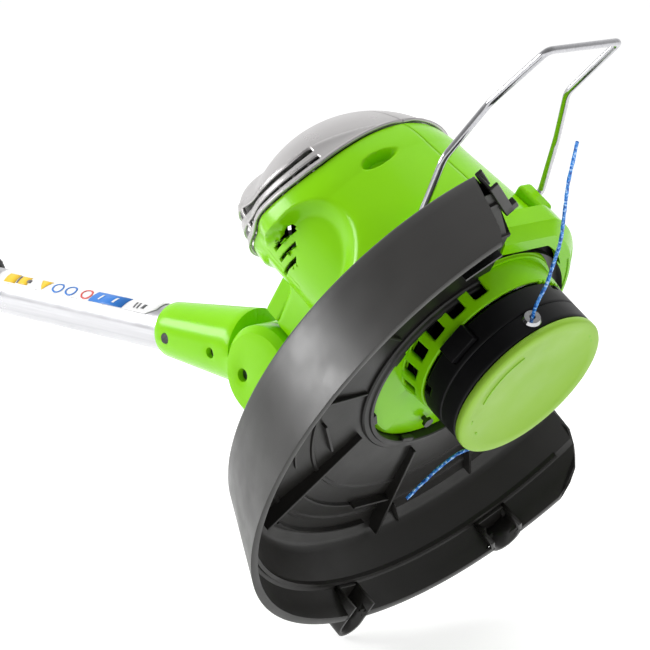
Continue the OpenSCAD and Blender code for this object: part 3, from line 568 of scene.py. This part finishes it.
def half_housing(name, node_name, side):
    """One shell of the motor housing, from its floor to the cover's joint line."""
    holes = []
    for outline in VENTS:
        holes.append([(side * -u, path_height(u, z)) for u, z in ((waist_az(a), z) for a, z in outline)])
    us = [side * u for u in runs((0.12, 18, 12), (18, 40, 36), (40, 84, 32), (84, 134, 112), (134, 179.88, 36))]
    verts, uv = [], []
    for j in range(SHELL_ROWS + 1):
        for u in us:
            s = BASE_Z + (split_at(u) - JOINT_GAP - BASE_Z) * j / SHELL_ROWS
            near_vents = 80 < abs(u) < 150 and 120 < s < 160
            uv.append(caught(holes, u, s, 1.0, 1.0, 0.42) if near_vents else (u, s))
            verts.append(on_head(*body_surface(*uv[-1])))
    faces = open_faces(uv, len(us), SHELL_ROWS + 1, holes)
    o = piece(name, verts, faces, GREEN, "head", "green_shell", smooth=50, thick=0.0022)
    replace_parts(o, node_name)


half_housing("housing_shell_right", "housing_right", -1)
half_housing("housing_shell_left", "housing_left", 1)

# Two slots run round the cover, each in two lengths either side of a bridge.
SLOT_LOW, SLOT_W, SLOT_STEP = 3.6, 4.4, 8.6
SLOT_AZ = (46, 108, 111, 171)
CREASE = 19.5
CROWN_ROWS = 40


def cover_surface(u, over):
    """over is the distance up the dome from the joint line, in mm."""
    a = max(abs(u), 0.001)
    t = split_at(u) + JOINT_GAP + over
    r = outer_r(u, t)
    crease = CREASE * smooth(0, 62, a)
    if crease > 1 and over < crease:
        r -= 1.1 * math.sin(math.pi * over / crease) * smooth(0, 60, a)
    r -= 1.0 * smooth(crease - 0.3, crease + 1.3, over)
    r += 0.5 * smooth(1.9, 0.8, over)
    return ray(u, t, r)


def half_cover(name, node_name, side):
    """One half of the cover, with its grid drawn along the slots and the crease."""
    a0, a1, a2, a3 = SLOT_AZ
    us = runs((0.10, a0, 36), (a0, a1, 50), (a1, a2, 3), (a2, a3, 48), (a3, 179.9, 8))
    slots = (SLOT_LOW, SLOT_LOW + SLOT_STEP)
    low_rows = runs((0, 1.9, 4), (1.9, slots[0], 2), (slots[0], slots[0] + SLOT_W, 4),
                    (slots[0] + SLOT_W, slots[1], 4), (slots[1], slots[1] + SLOT_W, 4),
                    (slots[1] + SLOT_W, CREASE, 4), (CREASE, CREASE + 3, 6))
    rows, cols, last = len(low_rows) + CROWN_ROWS, len(us), low_rows[-1]
    verts = []
    for j in range(rows):
        for u in us:
            full = DOME_Z + DOME_R * math.pi / 2 - split_at(side * u) - JOINT_GAP
            up_by = (j - len(low_rows) + 1) / CROWN_ROWS
            over = low_rows[j] if j < len(low_rows) else last + (full - last) * up_by
            verts.append(on_head(*cover_surface(side * u, over)))
    faces = []
    for q in grid_faces(cols, rows):
        j, i = divmod(q[0], cols)
        mid_row = (low_rows[j] + low_rows[j + 1]) / 2 if j + 1 < len(low_rows) else 99
        mid_u = (us[i] + us[i + 1]) / 2
        in_slot = any(lo < mid_row < lo + SLOT_W for lo in slots)
        if not (in_slot and (a0 < mid_u < a1 or a2 < mid_u < a3)):
            faces.append(q)
    o = piece(name, verts, faces, SILVER, "head", "silver_cover", smooth=32, thick=0.0019, weld=True)
    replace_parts(o, node_name)


half_cover("cover_shell_right", "top_cover_right", -1)
half_cover("cover_shell_left", "top_cover_left", 1)

# Dark sheets behind the vents, painted shade standing in for the shade inside them, and short ribs behind the
# slots.
SHADE_SHEET_R = 45
for side in (-1, 1):
    us = [side * u for u in span(82, 150, 20)]
    verts = [on_head(*ray(u, t, SHADE_SHEET_R)) for t in span(112, 164, 12) for u in us]
    piece("vent_shade_sheet_left" if side > 0 else "vent_shade_sheet_right", verts, grid_faces(21, 13), BLACK, "head",
          "black_plastic", thick=0.001)
for side in (-1, 1):
    for k in range(12):
        u = side * (52 + 10.4 * k)
        verts = []
        for over in (1.5, 18.5):
            s = split_at(u) + JOINT_GAP + over
            for du, dr in ((-0.7, -10.0), (0.7, -10.0), (0.7, -4.6), (-0.7, -4.6)):
                verts.append(on_head(*ray(u + du, s, outer_r(u, s) + dr)))
        piece("slot_rib_%d" % (k + 12 * (side > 0)), verts, BLOCK, SILVER, "head", "silver_cover", bevel=0.0003)

# A dark sheet behind the ribs, from the joint line upwards: painted shade standing in for the shade inside the
# slots.
SHADE_SHEET_DEPTH, SHADE_SHEET_TOP = 10.5, 196
us = span(-178, 178, 120)
verts = []
for t in span(0, 1, 16):
    for u in us:
        s = split_at(u) + 1 + (SHADE_SHEET_TOP - split_at(u) - 1) * t
        verts.append(on_head(*ray(u, s, outer_r(u, s) - SHADE_SHEET_DEPTH)))
piece("cover_shade_sheet", verts, grid_faces(121, 17), BLACK, "head", "black_plastic")


# ------------------------------------------------- collar, floor and ring
def nose(az, r):
    """The collar's front is cut off flat."""
    return min(r, (66.4 - (71.5 - r)) / max(0.05, math.cos(math.radians(az))))


lathe("front_collar", [(60, 52.3), (70.6, 52.3), (71.5, 53.2), (71.5, 64.0), (70.4, 65.0), (60, 65.0)],
      GREEN, "head", "green_shell", start=-80, end=80, step=2, radius=nose, cap=True, smooth=35)
lathe("front_collar_foot", [(58, 47.2), (65.0, 47.2), (66.0, 48.0), (70.8, 52.4), (58, 52.4)],
      GREEN, "head", "green_shell", start=-14, end=52, step=2, radius=nose, cap=True, smooth=35)


FLOOR_X, FLOOR_R, FLOOR_FRONT, FLOOR_BORE = -20, 58.5, 50.5, 44.2


def floor_edge(az, k):
    """From the floor's bore at k = 0 to its edge, a circle about FLOOR_X, at k = 1."""
    a = math.radians(az)
    big = FLOOR_X * math.cos(a) + math.sqrt(FLOOR_R ** 2 - FLOOR_X ** 2 * math.sin(a) ** 2)
    return FLOOR_BORE + (max(big, FLOOR_FRONT) - FLOOR_BORE) * k


lathe("housing_floor", [(0.0, 54), (0.0, 46.6), (0.03, 46.0), (0.5, 46.0), (0.93, 46.0), (1.0, 47.6), (1.0, 55)],
      GREEN, "head", "green_shell", radius=floor_edge, step=2.5, smooth=35)

RING_R0, RING_R1, RING_Z0, RING_Z1 = 46.6, 49.0, 31.3, 46.4


def ring_place(az, z):
    return polar(az, RING_R0 + (RING_R1 - RING_R0) * (z - RING_Z0) / 17, z)


def rounded_window(cu, cv, hu, hv, r, su):
    """Outline of a window in degrees and mm; su is mm to a degree."""
    pts = []
    for a0, sx, sy in ((0, 1, 1), (90, -1, 1), (180, -1, -1), (270, 1, -1)):
        for k in range(4):
            a = math.radians(a0 + 30 * k)
            pts.append((cu + (sx * (hu - r) + r * math.cos(a)) / su, cv + sy * (hv - r) + r * math.sin(a)))
    return pts


RING_MM = 0.83  # mm to a degree round the ring
ring_holes = [rounded_window(side * (37 + 18 * k), 41.0, 4.6, 4.6, 1.5, RING_MM)
              for side in (-1, 1) for k in range(7)]
sheet_grid("vented_ring", span(-180, 180, 300), span(RING_Z0, RING_Z1, 14), ring_place, GREEN, "head",
           "green_shell", holes=ring_holes, su=RING_MM, catch=0.55, thick=0.0026, smooth=35)
lathe("ring_shoulder", [(45.5, 46.4), (49.2, 46.4), (50.6, 47.4), (51.6, 50)], GREEN, "head", "green_shell",
      smooth=60)

for side in (-1, 1):
    y0, y1 = sorted((side * 32, side * 50.5))
    z0, z1 = sorted((side * 32, side * 42.2))
    box("wire_boss_%d" % (side > 0), (36, y0, 66), (52, y1, 86), GREEN, "head", "green_shell", 0.0025)
    box("wire_lug_%d" % (side > 0), (51, z0, 66), (61, z1, 86), GREEN, "head", "green_shell", 0.0025)

# Neck that carries the tilting hub.
PIVOT = (-113.9, 136.67)


def loft(name, sections, mat, body, slot):
    """Rounded rectangles (x, y_half, z_low, z_high, corner) joined in turn along x."""
    n = 8
    verts, faces, m = [], [], 4 * (n + 1)
    for x, hy, zl, zh, r in sections:
        cz, hz = (zl + zh) / 2, (zh - zl) / 2
        for q, (sy, sz) in enumerate(((1, 1), (-1, 1), (-1, -1), (1, -1))):
            for k in range(n + 1):
                a = math.radians(90 * q + 90 * k / n)
                verts.append(on_head(x, sy * (hy - r) + r * math.cos(a), cz + sz * (hz - r) + r * math.sin(a)))
    for i in range(len(sections) - 1):
        for k in range(m):
            a, b = i * m + k, i * m + (k + 1) % m
            faces.append((a, b, b + m, a + m))
    faces.append(tuple(range(m)))
    faces.append(tuple((len(sections) - 1) * m + k for k in reversed(range(m))))
    return piece(name, verts, faces, mat, body, slot, smooth=50)


loft("neck", [(-85.2, 17.5, 116, 148.5, 6), (-84.6, 18.6, 114.5, 149.6, 6.5), (-76, 19.5, 112.5, 149.8, 7),
              (-62, 21.5, 108, 150, 7.5), (-52, 26, 100, 152, 8), (-44, 30, 96, 153, 9)],
     GREEN, "head", "green_shell")
for side in (-1, 1):
    ya, yb = sorted((side * 12.6, side * 19.0))
    box("neck_rail_%d" % (side > 0), (-84.5, ya, 146), (-52, yb, 157.5), GREEN, "head", "green_shell", 0.002)
ring_n = 64
hub_v, hub_f = [], []
hub_profile = [(5.2, 11.6), (26.3, 11.6), (27.4, 10.6), (27.4, -10.6), (26.3, -11.6), (5.2, -11.6)]
for i in range(ring_n):
    a = math.tau * i / ring_n
    for r, y in hub_profile:
        hub_v.append(on_head(PIVOT[0] + r * math.cos(a), y, PIVOT[1] + r * math.sin(a)))
for i in range(ring_n):
    k = (i + 1) % ring_n
    for j in range(len(hub_profile)):
        jj = (j + 1) % len(hub_profile)
        hub_f.append((i * 6 + j, k * 6 + j, k * 6 + jj, i * 6 + jj))
piece("tilt_hub", hub_v, hub_f, GREEN, "head", "green_shell", smooth=35)
box("hub_web", (-112, -11.6, 115), (-82, 11.6, 148.4), GREEN, "head", "green_shell", 0.002)

# -------------------------------------------------------------- drum and cap
DRUM_R = 46.0
cap_profile = [(0.0, 0.55), (12, 0.5), (38.6, 0.25), (39.0, 0.0), (44.6, 0.0), (45.7, 0.35), (46.2, 1.1),
               (46.2, 3.7), (45.8, 4.1), (43.2, 4.1)]
cap = lathe("drum_cap_face", cap_profile, GREEN_CAP, "spool", "green_shell", step=2.0, smooth=60)
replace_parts(cap, "drum_cap")


def cap_mark(name, r0, r1, a0, a1):
    """A plain raised arc on the cap."""
    n = max(3, round(abs(a1 - a0) / 2))
    vs, fs = [], []
    for i in range(n + 1):
        az = a0 + (a1 - a0) * i / n
        for r, z in ((r0, -0.02), (r0, 0.5), (r1, 0.5), (r1, -0.02)):
            vs.append(on_head(*polar(az, r, z)))
    for i in range(n):
        for j in range(4):
            k = (j + 1) % 4
            fs.append((i * 4 + j, i * 4 + k, (i + 1) * 4 + k, (i + 1) * 4 + j))
    fs += [(0, 1, 2, 3), tuple(n * 4 + j for j in (3, 2, 1, 0))]
    return piece(name, vs, fs, CAP_MARK, "spool", "green_shell")


cap_mark("cap_arc", 33.6, 34.5, -96, -40)
for i, (az, r) in enumerate(((-118, 38), (-140, 36), (38, 40), (46, 40))):
    cap_mark("cap_tick_%d" % i, r, r + 1.2, az, az + 4)

WALL_MM = 0.8  # mm to a degree round the drum's wall


def notch(az, half, low):
    """A notch in the drum's wall, open at the top."""
    w = half / WALL_MM
    return [(az - w, low), (az + w, low), (az + w, 40), (az - w, 40)]


def eyelet(az, r=3.4, z=11):
    """A round hole in the drum's wall, for the line."""
    return [(az + r / WALL_MM * math.cos(t), z + r * math.sin(t)) for t in span(0, math.tau * 15 / 16, 15)]


drum_holes = [notch(az, 9.0, 19.6) for az in (-68, 112)] + [eyelet(az) for az in (-22, 158)]
drum_holes += [notch(az, 3.2, 25.6) for az in (-112, -140, 20, 60)]


def drum_place(az, z):
    groove = 0.6 * smooth(0.45, 0.1, abs(z - 16.1))
    edge = 0.7 * smooth(29.2, 30.0, z) + 0.4 * smooth(5.0, 4.6, z)
    return polar(az, DRUM_R - groove - edge, z)


drum = sheet_grid("drum_wall", span(-180, 180, 360), span(4.6, 15.5, 9) + [15.8, 16.1, 16.4] + span(16.8, 30, 14),
                  drum_place, BLACK, "spool", "black_plastic", holes=drum_holes, su=WALL_MM, catch=0.5,
                  thick=0.0024, smooth=35)
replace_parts(drum, "drum")
lathe("drum_top", [(45.0, 29.4), (44.0, 29.9), (30, 29.9), (29, 28.9), (8, 28.9), (6, 30.4), (3.1, 30.4)],
      BLACK, "spool", "black_plastic", smooth=35)
lathe("drum_core", [(3.1, 12.5), (7, 12.5), (7, 26.5), (3.1, 26.5)], BLACK, "spool", "black_plastic", smooth=35)
lathe("drum_inner", [(40.0, 5), (40.0, 24), (43.2, 24.5)], BLACK, "spool", "black_plastic", smooth=35)
for k in range(6):
    az = 8 + 5.2 * k
    box("drum_tooth_%d" % k, (44.6, -1.2, 30.2), (46.6, 1.2, 33.6), GREEN, "spool", "green_shell", 0.0003, turn=az)

# --------------------------------------------------------------------- guard
GX = -23.5


def guard_arc(name, profile, a0, a1):
    lathe(name, profile, GUARD, "head", "guard_plastic", start=a0, end=a1, step=2.0, cx=GX, cap=True, smooth=35)


RIM_R, RIM_Z, TOP_R, TOP_Z = 160.4, 7.7, 139.4, 58.5
# Azimuths of the open front's two edges: by radius on the deck, by height on the wall.
DECK_EDGE_A = [(62, -17), (66, -15.8), (95, -11), (118, -18), (135, -23)]
DECK_EDGE_B = [(62, 75), (80, 94.6), (110, 108), (135, 118)]
WALL_EDGE_A = [(7.7, -33.4), (15, -31.6), (50, -25.8), (58.5, -24)]
WALL_EDGE_B = [(7.7, 131.0), (10, 127.6), (15, 123.9), (20, 122), (30, 119), (50, 118)]
# Feet on the wall: azimuth, radius of the nose's axis, half width inside and outside.
FEET = ((-173.5, 165.0, 6.6, 9.0), (145.0, 154.5, 8.6, 11.0))
FOOT_TOP = 24.5
HOLE_R, FLAT_R = 62, 74


def guard_edges(r, z):
    """Azimuths at which a line of the guard's profile starts and ends."""
    if r >= 135:
        return along(WALL_EDGE_B, z), 360 + along(WALL_EDGE_A, z)
    return along(DECK_EDGE_B, r), 360 + along(DECK_EDGE_A, r)


def deck_radius(az, r):
    """Opens the deck's round hole about the housing's floor."""
    if r >= FLAT_R:
        return r
    a = math.radians(az)
    off = FLOOR_X - GX
    hole = off * math.cos(a) + math.sqrt(HOLE_R ** 2 - (off * math.sin(a)) ** 2)
    return hole + (FLAT_R - hole) * (r - HOLE_R) / (FLAT_R - HOLE_R)


def wall_r(z):
    return RIM_R + (TOP_R - RIM_R) * (z - RIM_Z) / (TOP_Z - RIM_Z)


outer_wall = [(wall_r(z), z) for z in (56.5, 50, 40, 32, FOOT_TOP, 20, 15, 11, 8.6)]
inner_wall = [(155.9, 8.0), (155.4, 9.5), (154.4, 15), (153.2, 20), (151.6, FOOT_TOP), (150.0, 25.4), (147.6, 26.4),
              (145.0, 32), (140.2, 42), (138.6, 45.6)]
deck_top = [(HOLE_R, 48), (FLAT_R, 48), (117.4, 54.5), (134.4, TOP_Z - 0.2), (138.2, TOP_Z), (139.2, TOP_Z - 0.6)]
deck_under = [(136.4, 47.4), (133, 48.2), (131.4, 49.4), (122.0, 49.6), (121.2, 48.4), (119.4, 48.3), (118.6, 49.2),
              (95.4, 46.9), (94.8, 45.9), (93.2, 45.7), (92.4, 46.5), (FLAT_R, 45.2), (HOLE_R, 45.2)]
GUARD_LINE = deck_top + outer_wall + [(160.3, 7.9), (159.6, RIM_Z), (156.8, RIM_Z)] + inner_wall + deck_under
WALL_FROM = 145  # profile points beyond this radius are the wall's


def guard_shell():
    """The guard's skirt and deck, with openings in the wall behind its feet."""
    n, m = 190, len(GUARD_LINE)
    openings = []
    for az, _, half_in, _ in FEET:
        half = math.degrees(math.asin(half_in / 153.5))
        openings.append((az % 360 - half, az % 360 + half))
    verts, azs = [], []
    for r, z in GUARD_LINE:
        e0, e1 = guard_edges(r, z)
        row = []
        for t in span(0, 1, n):
            az = e0 + (e1 - e0) * t
            for edge in (e for pair in openings for e in pair):
                if r > WALL_FROM and abs(az - edge) < 0.62:
                    az = edge
            row.append(az)
        azs.append(row)
        verts += [on_head(*polar(az, deck_radius(az, r), z, GX)) for az in row]
    w = n + 1
    faces = []
    for j in range(m):
        k = (j + 1) % m
        (r0, z0), (r1, z1) = GUARD_LINE[j], GUARD_LINE[k]
        on_wall = max(z0, z1) <= FOOT_TOP + 0.01 and min(r0, r1) > WALL_FROM
        for i in range(n):
            c = sum(azs[q][x] for q, x in ((j, i), (j, i + 1), (k, i), (k, i + 1))) / 4
            if not (on_wall and any(lo < c < hi for lo, hi in openings)):
                faces.append((j * w + i, j * w + i + 1, k * w + i + 1, k * w + i))
    faces.append(tuple(j * w for j in range(m)))
    faces.append(tuple(j * w + n for j in reversed(range(m))))
    return piece("guard_shell", verts, faces, GUARD, "head", "guard_plastic", smooth=32)


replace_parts(guard_shell(), "guard")

# Each foot is a U-shaped nose with a roof over it.
NOSE_FROM = 149.5
for k, (az, axis_r, _, half) in enumerate(FEET):
    u_line = [(NOSE_FROM, -half), (axis_r - 4, -half), (axis_r, -half)]
    u_line += [(axis_r + half * math.sin(math.radians(t)), -half * math.cos(math.radians(t)))
               for t in span(12, 168, 13)]
    u_line += [(axis_r, half), (axis_r - 4, half), (NOSE_FROM, half)]
    c, d = math.cos(math.radians(az)), math.sin(math.radians(az))
    count = len(u_line)
    ring = [(i, (i + 1) % count, count + (i + 1) % count, count + i) for i in range(count)]
    lids = [tuple(range(count)), tuple(count + i for i in reversed(range(count)))]
    for name, low, high, faces, kw in (("nose", RIM_Z, FOOT_TOP, ring[:-1], {"thick": 0.0023}),
                                       ("roof", FOOT_TOP - 2, FOOT_TOP + 0.3, lids + ring, {"bevel": 0.0006})):
        verts = [on_head(GX + c * x - d * y, d * x + c * y, z) for z in (low, high) for x, y in u_line]
        piece("foot_%s_%d" % (name, k), verts, faces, GUARD, "head", "guard_plastic", **kw)


def guard_bar(name, az0, r0, az1, r1, half, low, high):
    """A rib on the deck between two places given in the guard's polar terms."""
    p, q = polar(az0, r0, 0, GX), polar(az1, r1, 0, GX)
    turn = math.degrees(math.atan2(q[1] - p[1], q[0] - p[0]))
    reach = math.hypot(q[0] - p[0], q[1] - p[1])
    box(name, (0, -half, low), (reach, half, high), GUARD, "head", "guard_plastic", 0.0005,
        turn=turn, about=(p[0], p[1]))


for name, *rib in (("rib_a", 232, 66, 222, 134, 0.9, 41.2, 51), ("rib_a_fin", 236, 84, 254, 90, 0.8, 42.6, 51),
                   ("rib_b", 176.5, 66, 174, 136, 0.9, 41.2, 51), ("rib_b_fin", 175, 108, 190, 108, 0.8, 43.2, 51),
                   ("rib_c", 264, 66, 266, 130, 0.8, 43.4, 51), ("rib_d", 296, 70, 294, 130, 0.8, 43.4, 51),
                   ("rib_e", 142, 78, 144, 132, 0.8, 43.6, 51), ("line", 170, 118, 165, 141, 0.5, 44.6, 50)):
    guard_bar("deck_" + name, *rib)
for k, (az0, az1, r) in enumerate(((180, 222, 108), (178, 216, 128), (236, 262, 104))):
    guard_arc("deck_arc_%d" % k, [(r, 52), (r, 46.4), (r + 1.1, 46.4), (r + 1.1, 52)], az0, az1)
guard_arc("skirt_line", [(149.9, 26.2), (149.2, 24.6), (147.2, 25.0), (147.0, 27.4)], 125, 327)

# Collar round the housing's floor, its clips, and the ring that closes the gap above it.
lathe("deck_collar", [(59.0, 47.5), (59.0, 42.6), (59.6, 42.0), (61.4, 42.0), (62.0, 43.0), (64.6, 43.2),
                      (65.4, 44.0), (65.4, 47.5)],
      GUARD, "head", "guard_plastic", start=98, end=338, cx=FLOOR_X, cap=True, smooth=35)
for k, az in enumerate((188, 236, 283, 318)):
    box("collar_clip_%d" % k, (57.0, -4.5, 42.2), (60.0, 4.5, 45.4), GUARD, "head", "guard_plastic", 0.0006,
        turn=az, about=(FLOOR_X, 0))
lathe("deck_seal", [(60, 47.6), (60, 51.8), (71, 51.8), (71, 47.6)], GUARD, "head", "guard_plastic",
      cx=FLOOR_X, smooth=35)

# Channel along the guard's right end.
EDGE_FROM, EDGE_TO = (105.2, -56.6), (84.0, -30.0)
edge_len = math.hypot(EDGE_TO[0] - EDGE_FROM[0], EDGE_TO[1] - EDGE_FROM[1])
edge_turn = math.degrees(math.atan2(EDGE_TO[1] - EDGE_FROM[1], EDGE_TO[0] - EDGE_FROM[0]))
for name, lo, hi in (("edge_web", (0, -0.8, 46.5), (edge_len, 0.8, 58.2)),
                     ("edge_lip_low", (0, -4.6, 45.6), (edge_len, 0.8, 47.4)),
                     ("edge_lip_high", (0, -3.4, 56.8), (edge_len * 0.5, 0.8, 58.4)),
                     ("edge_foot", (edge_len - 6, -7.5, 45.6), (edge_len, 0.8, 49.5))):
    box(name, lo, hi, GUARD, "head", "guard_plastic", 0.0006, turn=edge_turn, about=EDGE_FROM)

# ---------------------------------------------------------------- tube label
LABEL_R = 0.01434
FOIL_R = 0.01428
LIFT = 0.0003      # of the printed shapes above the foil
PRINT_AT = 213     # degrees round the tube at which they are centred


def wrap(x, a, r):
    """A place on the tube, a degrees round it from its underside."""
    a = math.radians(a)
    return Vector((x, r * math.sin(a), SHAFT_Z - r * math.cos(a)))


def label_patch(name, corners, mat, lift):
    """A thin printed shape between four corners of (x, degrees), wrapped on the tube."""
    verts = []
    for v in span(0, 1, 8):
        near = [corners[0][k] * (1 - v) + corners[3][k] * v for k in (0, 1)]
        far = [corners[1][k] * (1 - v) + corners[2][k] * v for k in (0, 1)]
        for u in span(0, 1, 2):
            verts.append(wrap(near[0] * (1 - u) + far[0] * u, near[1] * (1 - u) + far[1] * u, LABEL_R + lift))
    piece(name, verts, grid_faces(3, 9), mat, "lower_shaft", "label", thick=0.00005)


verts = []
for x in span(0.650, 0.8005, 40):
    end = smooth(0.8012, 0.7925, x)
    verts += [wrap(x, a, FOIL_R) for a in span(115 + 60 * (1 - end), 232 - 20 * (1 - end), 24)]
label = piece("label_foil", verts, grid_faces(25, 41), LABEL, "lower_shaft", "label", thick=0.00015)
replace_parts(label, "tube_label")

# Plain blocks: place along the tube, width in mm, half height in degrees, colour, slant.
for i, (x, w, h, col, slant) in enumerate((
        (0.664, 11, 15, YELLOW, 0), (0.6765, 9, 13, YELLOW, 0), (0.671, 1.6, 12, INK, 0), (0.681, 4, 5, INK, 0),
        (0.7565, 31, 17, BLUE, 0.003), (0.749, 1.6, 8, LABEL, 0.002), (0.762, 2.2, 8, LABEL, 0.002),
        (0.7815, 1.2, 9, INK, 0), (0.7845, 1.2, 9, INK, 0), (0.7885, 2.6, 7, INK, 0.001))):
    w /= 2000
    low, high = PRINT_AT - h, PRINT_AT + h
    label_patch("label_block_%d" % i, [(x - w + slant, low), (x + w + slant, low), (x + w, high), (x - w, high)],
                col, LIFT if col is not LABEL else LIFT + 0.0001)
label_patch("label_wedge", [(0.6905, 199), (0.7015, 199), (0.6962, 229), (0.6958, 229)], YELLOW, LIFT)
for i, (x, col) in enumerate(((0.709, BLUE), (0.7215, BLUE), (0.7365, RED))):
    verts = []
    for t in (math.tau * k / 32 for k in range(32)):
        for r in (0.0036, 0.0050):
            a = PRINT_AT + math.degrees(r * 0.8 / LABEL_R) * math.sin(t)
            verts.append(wrap(x + r * math.cos(t), a, LABEL_R + LIFT))
    faces = [(2 * k, 2 * k + 1, 2 * ((k + 1) % 32) + 1, 2 * ((k + 1) % 32)) for k in range(32)]
    piece("label_ring_%d" % i, verts, faces, col, "lower_shaft", "label", thick=0.00005)

# ------------------------------------------- softened edges on the CAD's nodes
for name in ("handle_right", "handle_left", "soft_grip", "battery_case", "battery_latch", "trigger", "lock_button",
             "socket_right", "socket_left", "collar_ring", "collar_base", "clamp_upper", "clamp_lower", "aux_knob",
             "latch_right", "latch_left", "tilt_release", "strap_eye"):
    o = NODES[name]
    weld = o.modifiers.new("weld", "WELD")
    weld.merge_threshold = 0.00002
    edges = o.modifiers.new("edges", "BEVEL")
    edges.width = 0.0005 if name in ("strap_eye", "tilt_release", "latch_right", "latch_left") else 0.0009
    edges.segments = 2
    edges.limit_method = "ANGLE"
    edges.angle_limit = math.radians(40)
    edges.harden_normals = True

# ------------------------------------------------------------------- stage
FLOOR_HALF, FLOOR_Z = 8, -0.0005
me = bpy.data.meshes.new("floor")
me.from_pydata([(x * FLOOR_HALF, y * FLOOR_HALF, FLOOR_Z) for x, y in ((-1, -1), (1, -1), (1, 1), (-1, 1))],
               [], [(0, 1, 2, 3)])
floor = link("floor", me)
FLOOR = plastic("floor", (0.50, 0.50, 0.50), (0.52, 0.52, 0.52), 0.8, 60.0, 0.01, spec=0.0)
glow = FLOOR.node_tree.nodes["Principled BSDF"]
glow.inputs["Emission Color"].default_value = (1, 1, 1, 1)
glow.inputs["Emission Strength"].default_value = 0.74
dress(floor, FLOOR)

# A studio: bright behind the object and below it, dimmer in front and overhead.
bpy.context.scene.view_settings.view_transform = "Standard"
world = bpy.data.worlds.new("studio")
bpy.context.scene.world = world
world.use_nodes = True
nt = world.node_tree
tc = nt.nodes.new("ShaderNodeTexCoord")
dot = nt.nodes.new("ShaderNodeVectorMath")
dot.operation = "DOT_PRODUCT"
dot.inputs[1].default_value = (-0.66, 0.66, -0.25)
nt.links.new(tc.outputs["Generated"], dot.inputs[0])
half = node(nt, "ShaderNodeMath", operation="MULTIPLY_ADD")
half.inputs[1].default_value = 0.5
half.inputs[2].default_value = 0.5
nt.links.new(dot.outputs["Value"], half.inputs[0])
sky = ramp(nt, half.outputs[0], [(0.0, (0.28,)), (0.45, (0.45,)), (0.7, (0.8,)), (0.9, (1.0,))])
nt.links.new(sky, nt.nodes["Background"].inputs[0])
nt.nodes["Background"].inputs[1].default_value = 1.0


def area(name, place, target, size, power, size_y=None, gloss=False):
    """A soft light; only one with gloss is mirrored in the object."""
    light = bpy.data.lights.new(name, "AREA")
    light.shape = "RECTANGLE"
    light.size = size
    light.size_y = size_y or size
    light.energy = power
    o = link(name, light)
    o.location = place
    o.rotation_euler = (Vector(target) - Vector(place)).to_track_quat("-Z", "Y").to_euler()
    o.visible_glossy = gloss


area("left", (-0.15, -0.75, 0.62), (1.05, 0, 0.2), 0.9, 11, 0.35, gloss=True)
area("front", (1.9, -1.5, 0.9), (1.1, 0, 0.2), 0.5, 2, 0.5)
area("top", (0.7, 0.5, 1.7), (1.05, 0, 0.2), 0.9, 13)
area("right", (2.3, 0.3, 0.7), (1.1, 0, 0.2), 0.6, 2)
area("floor_wash", (1.0, -0.3, 2.6), (1.0, 0.2, 0.0), 2.4, 16)
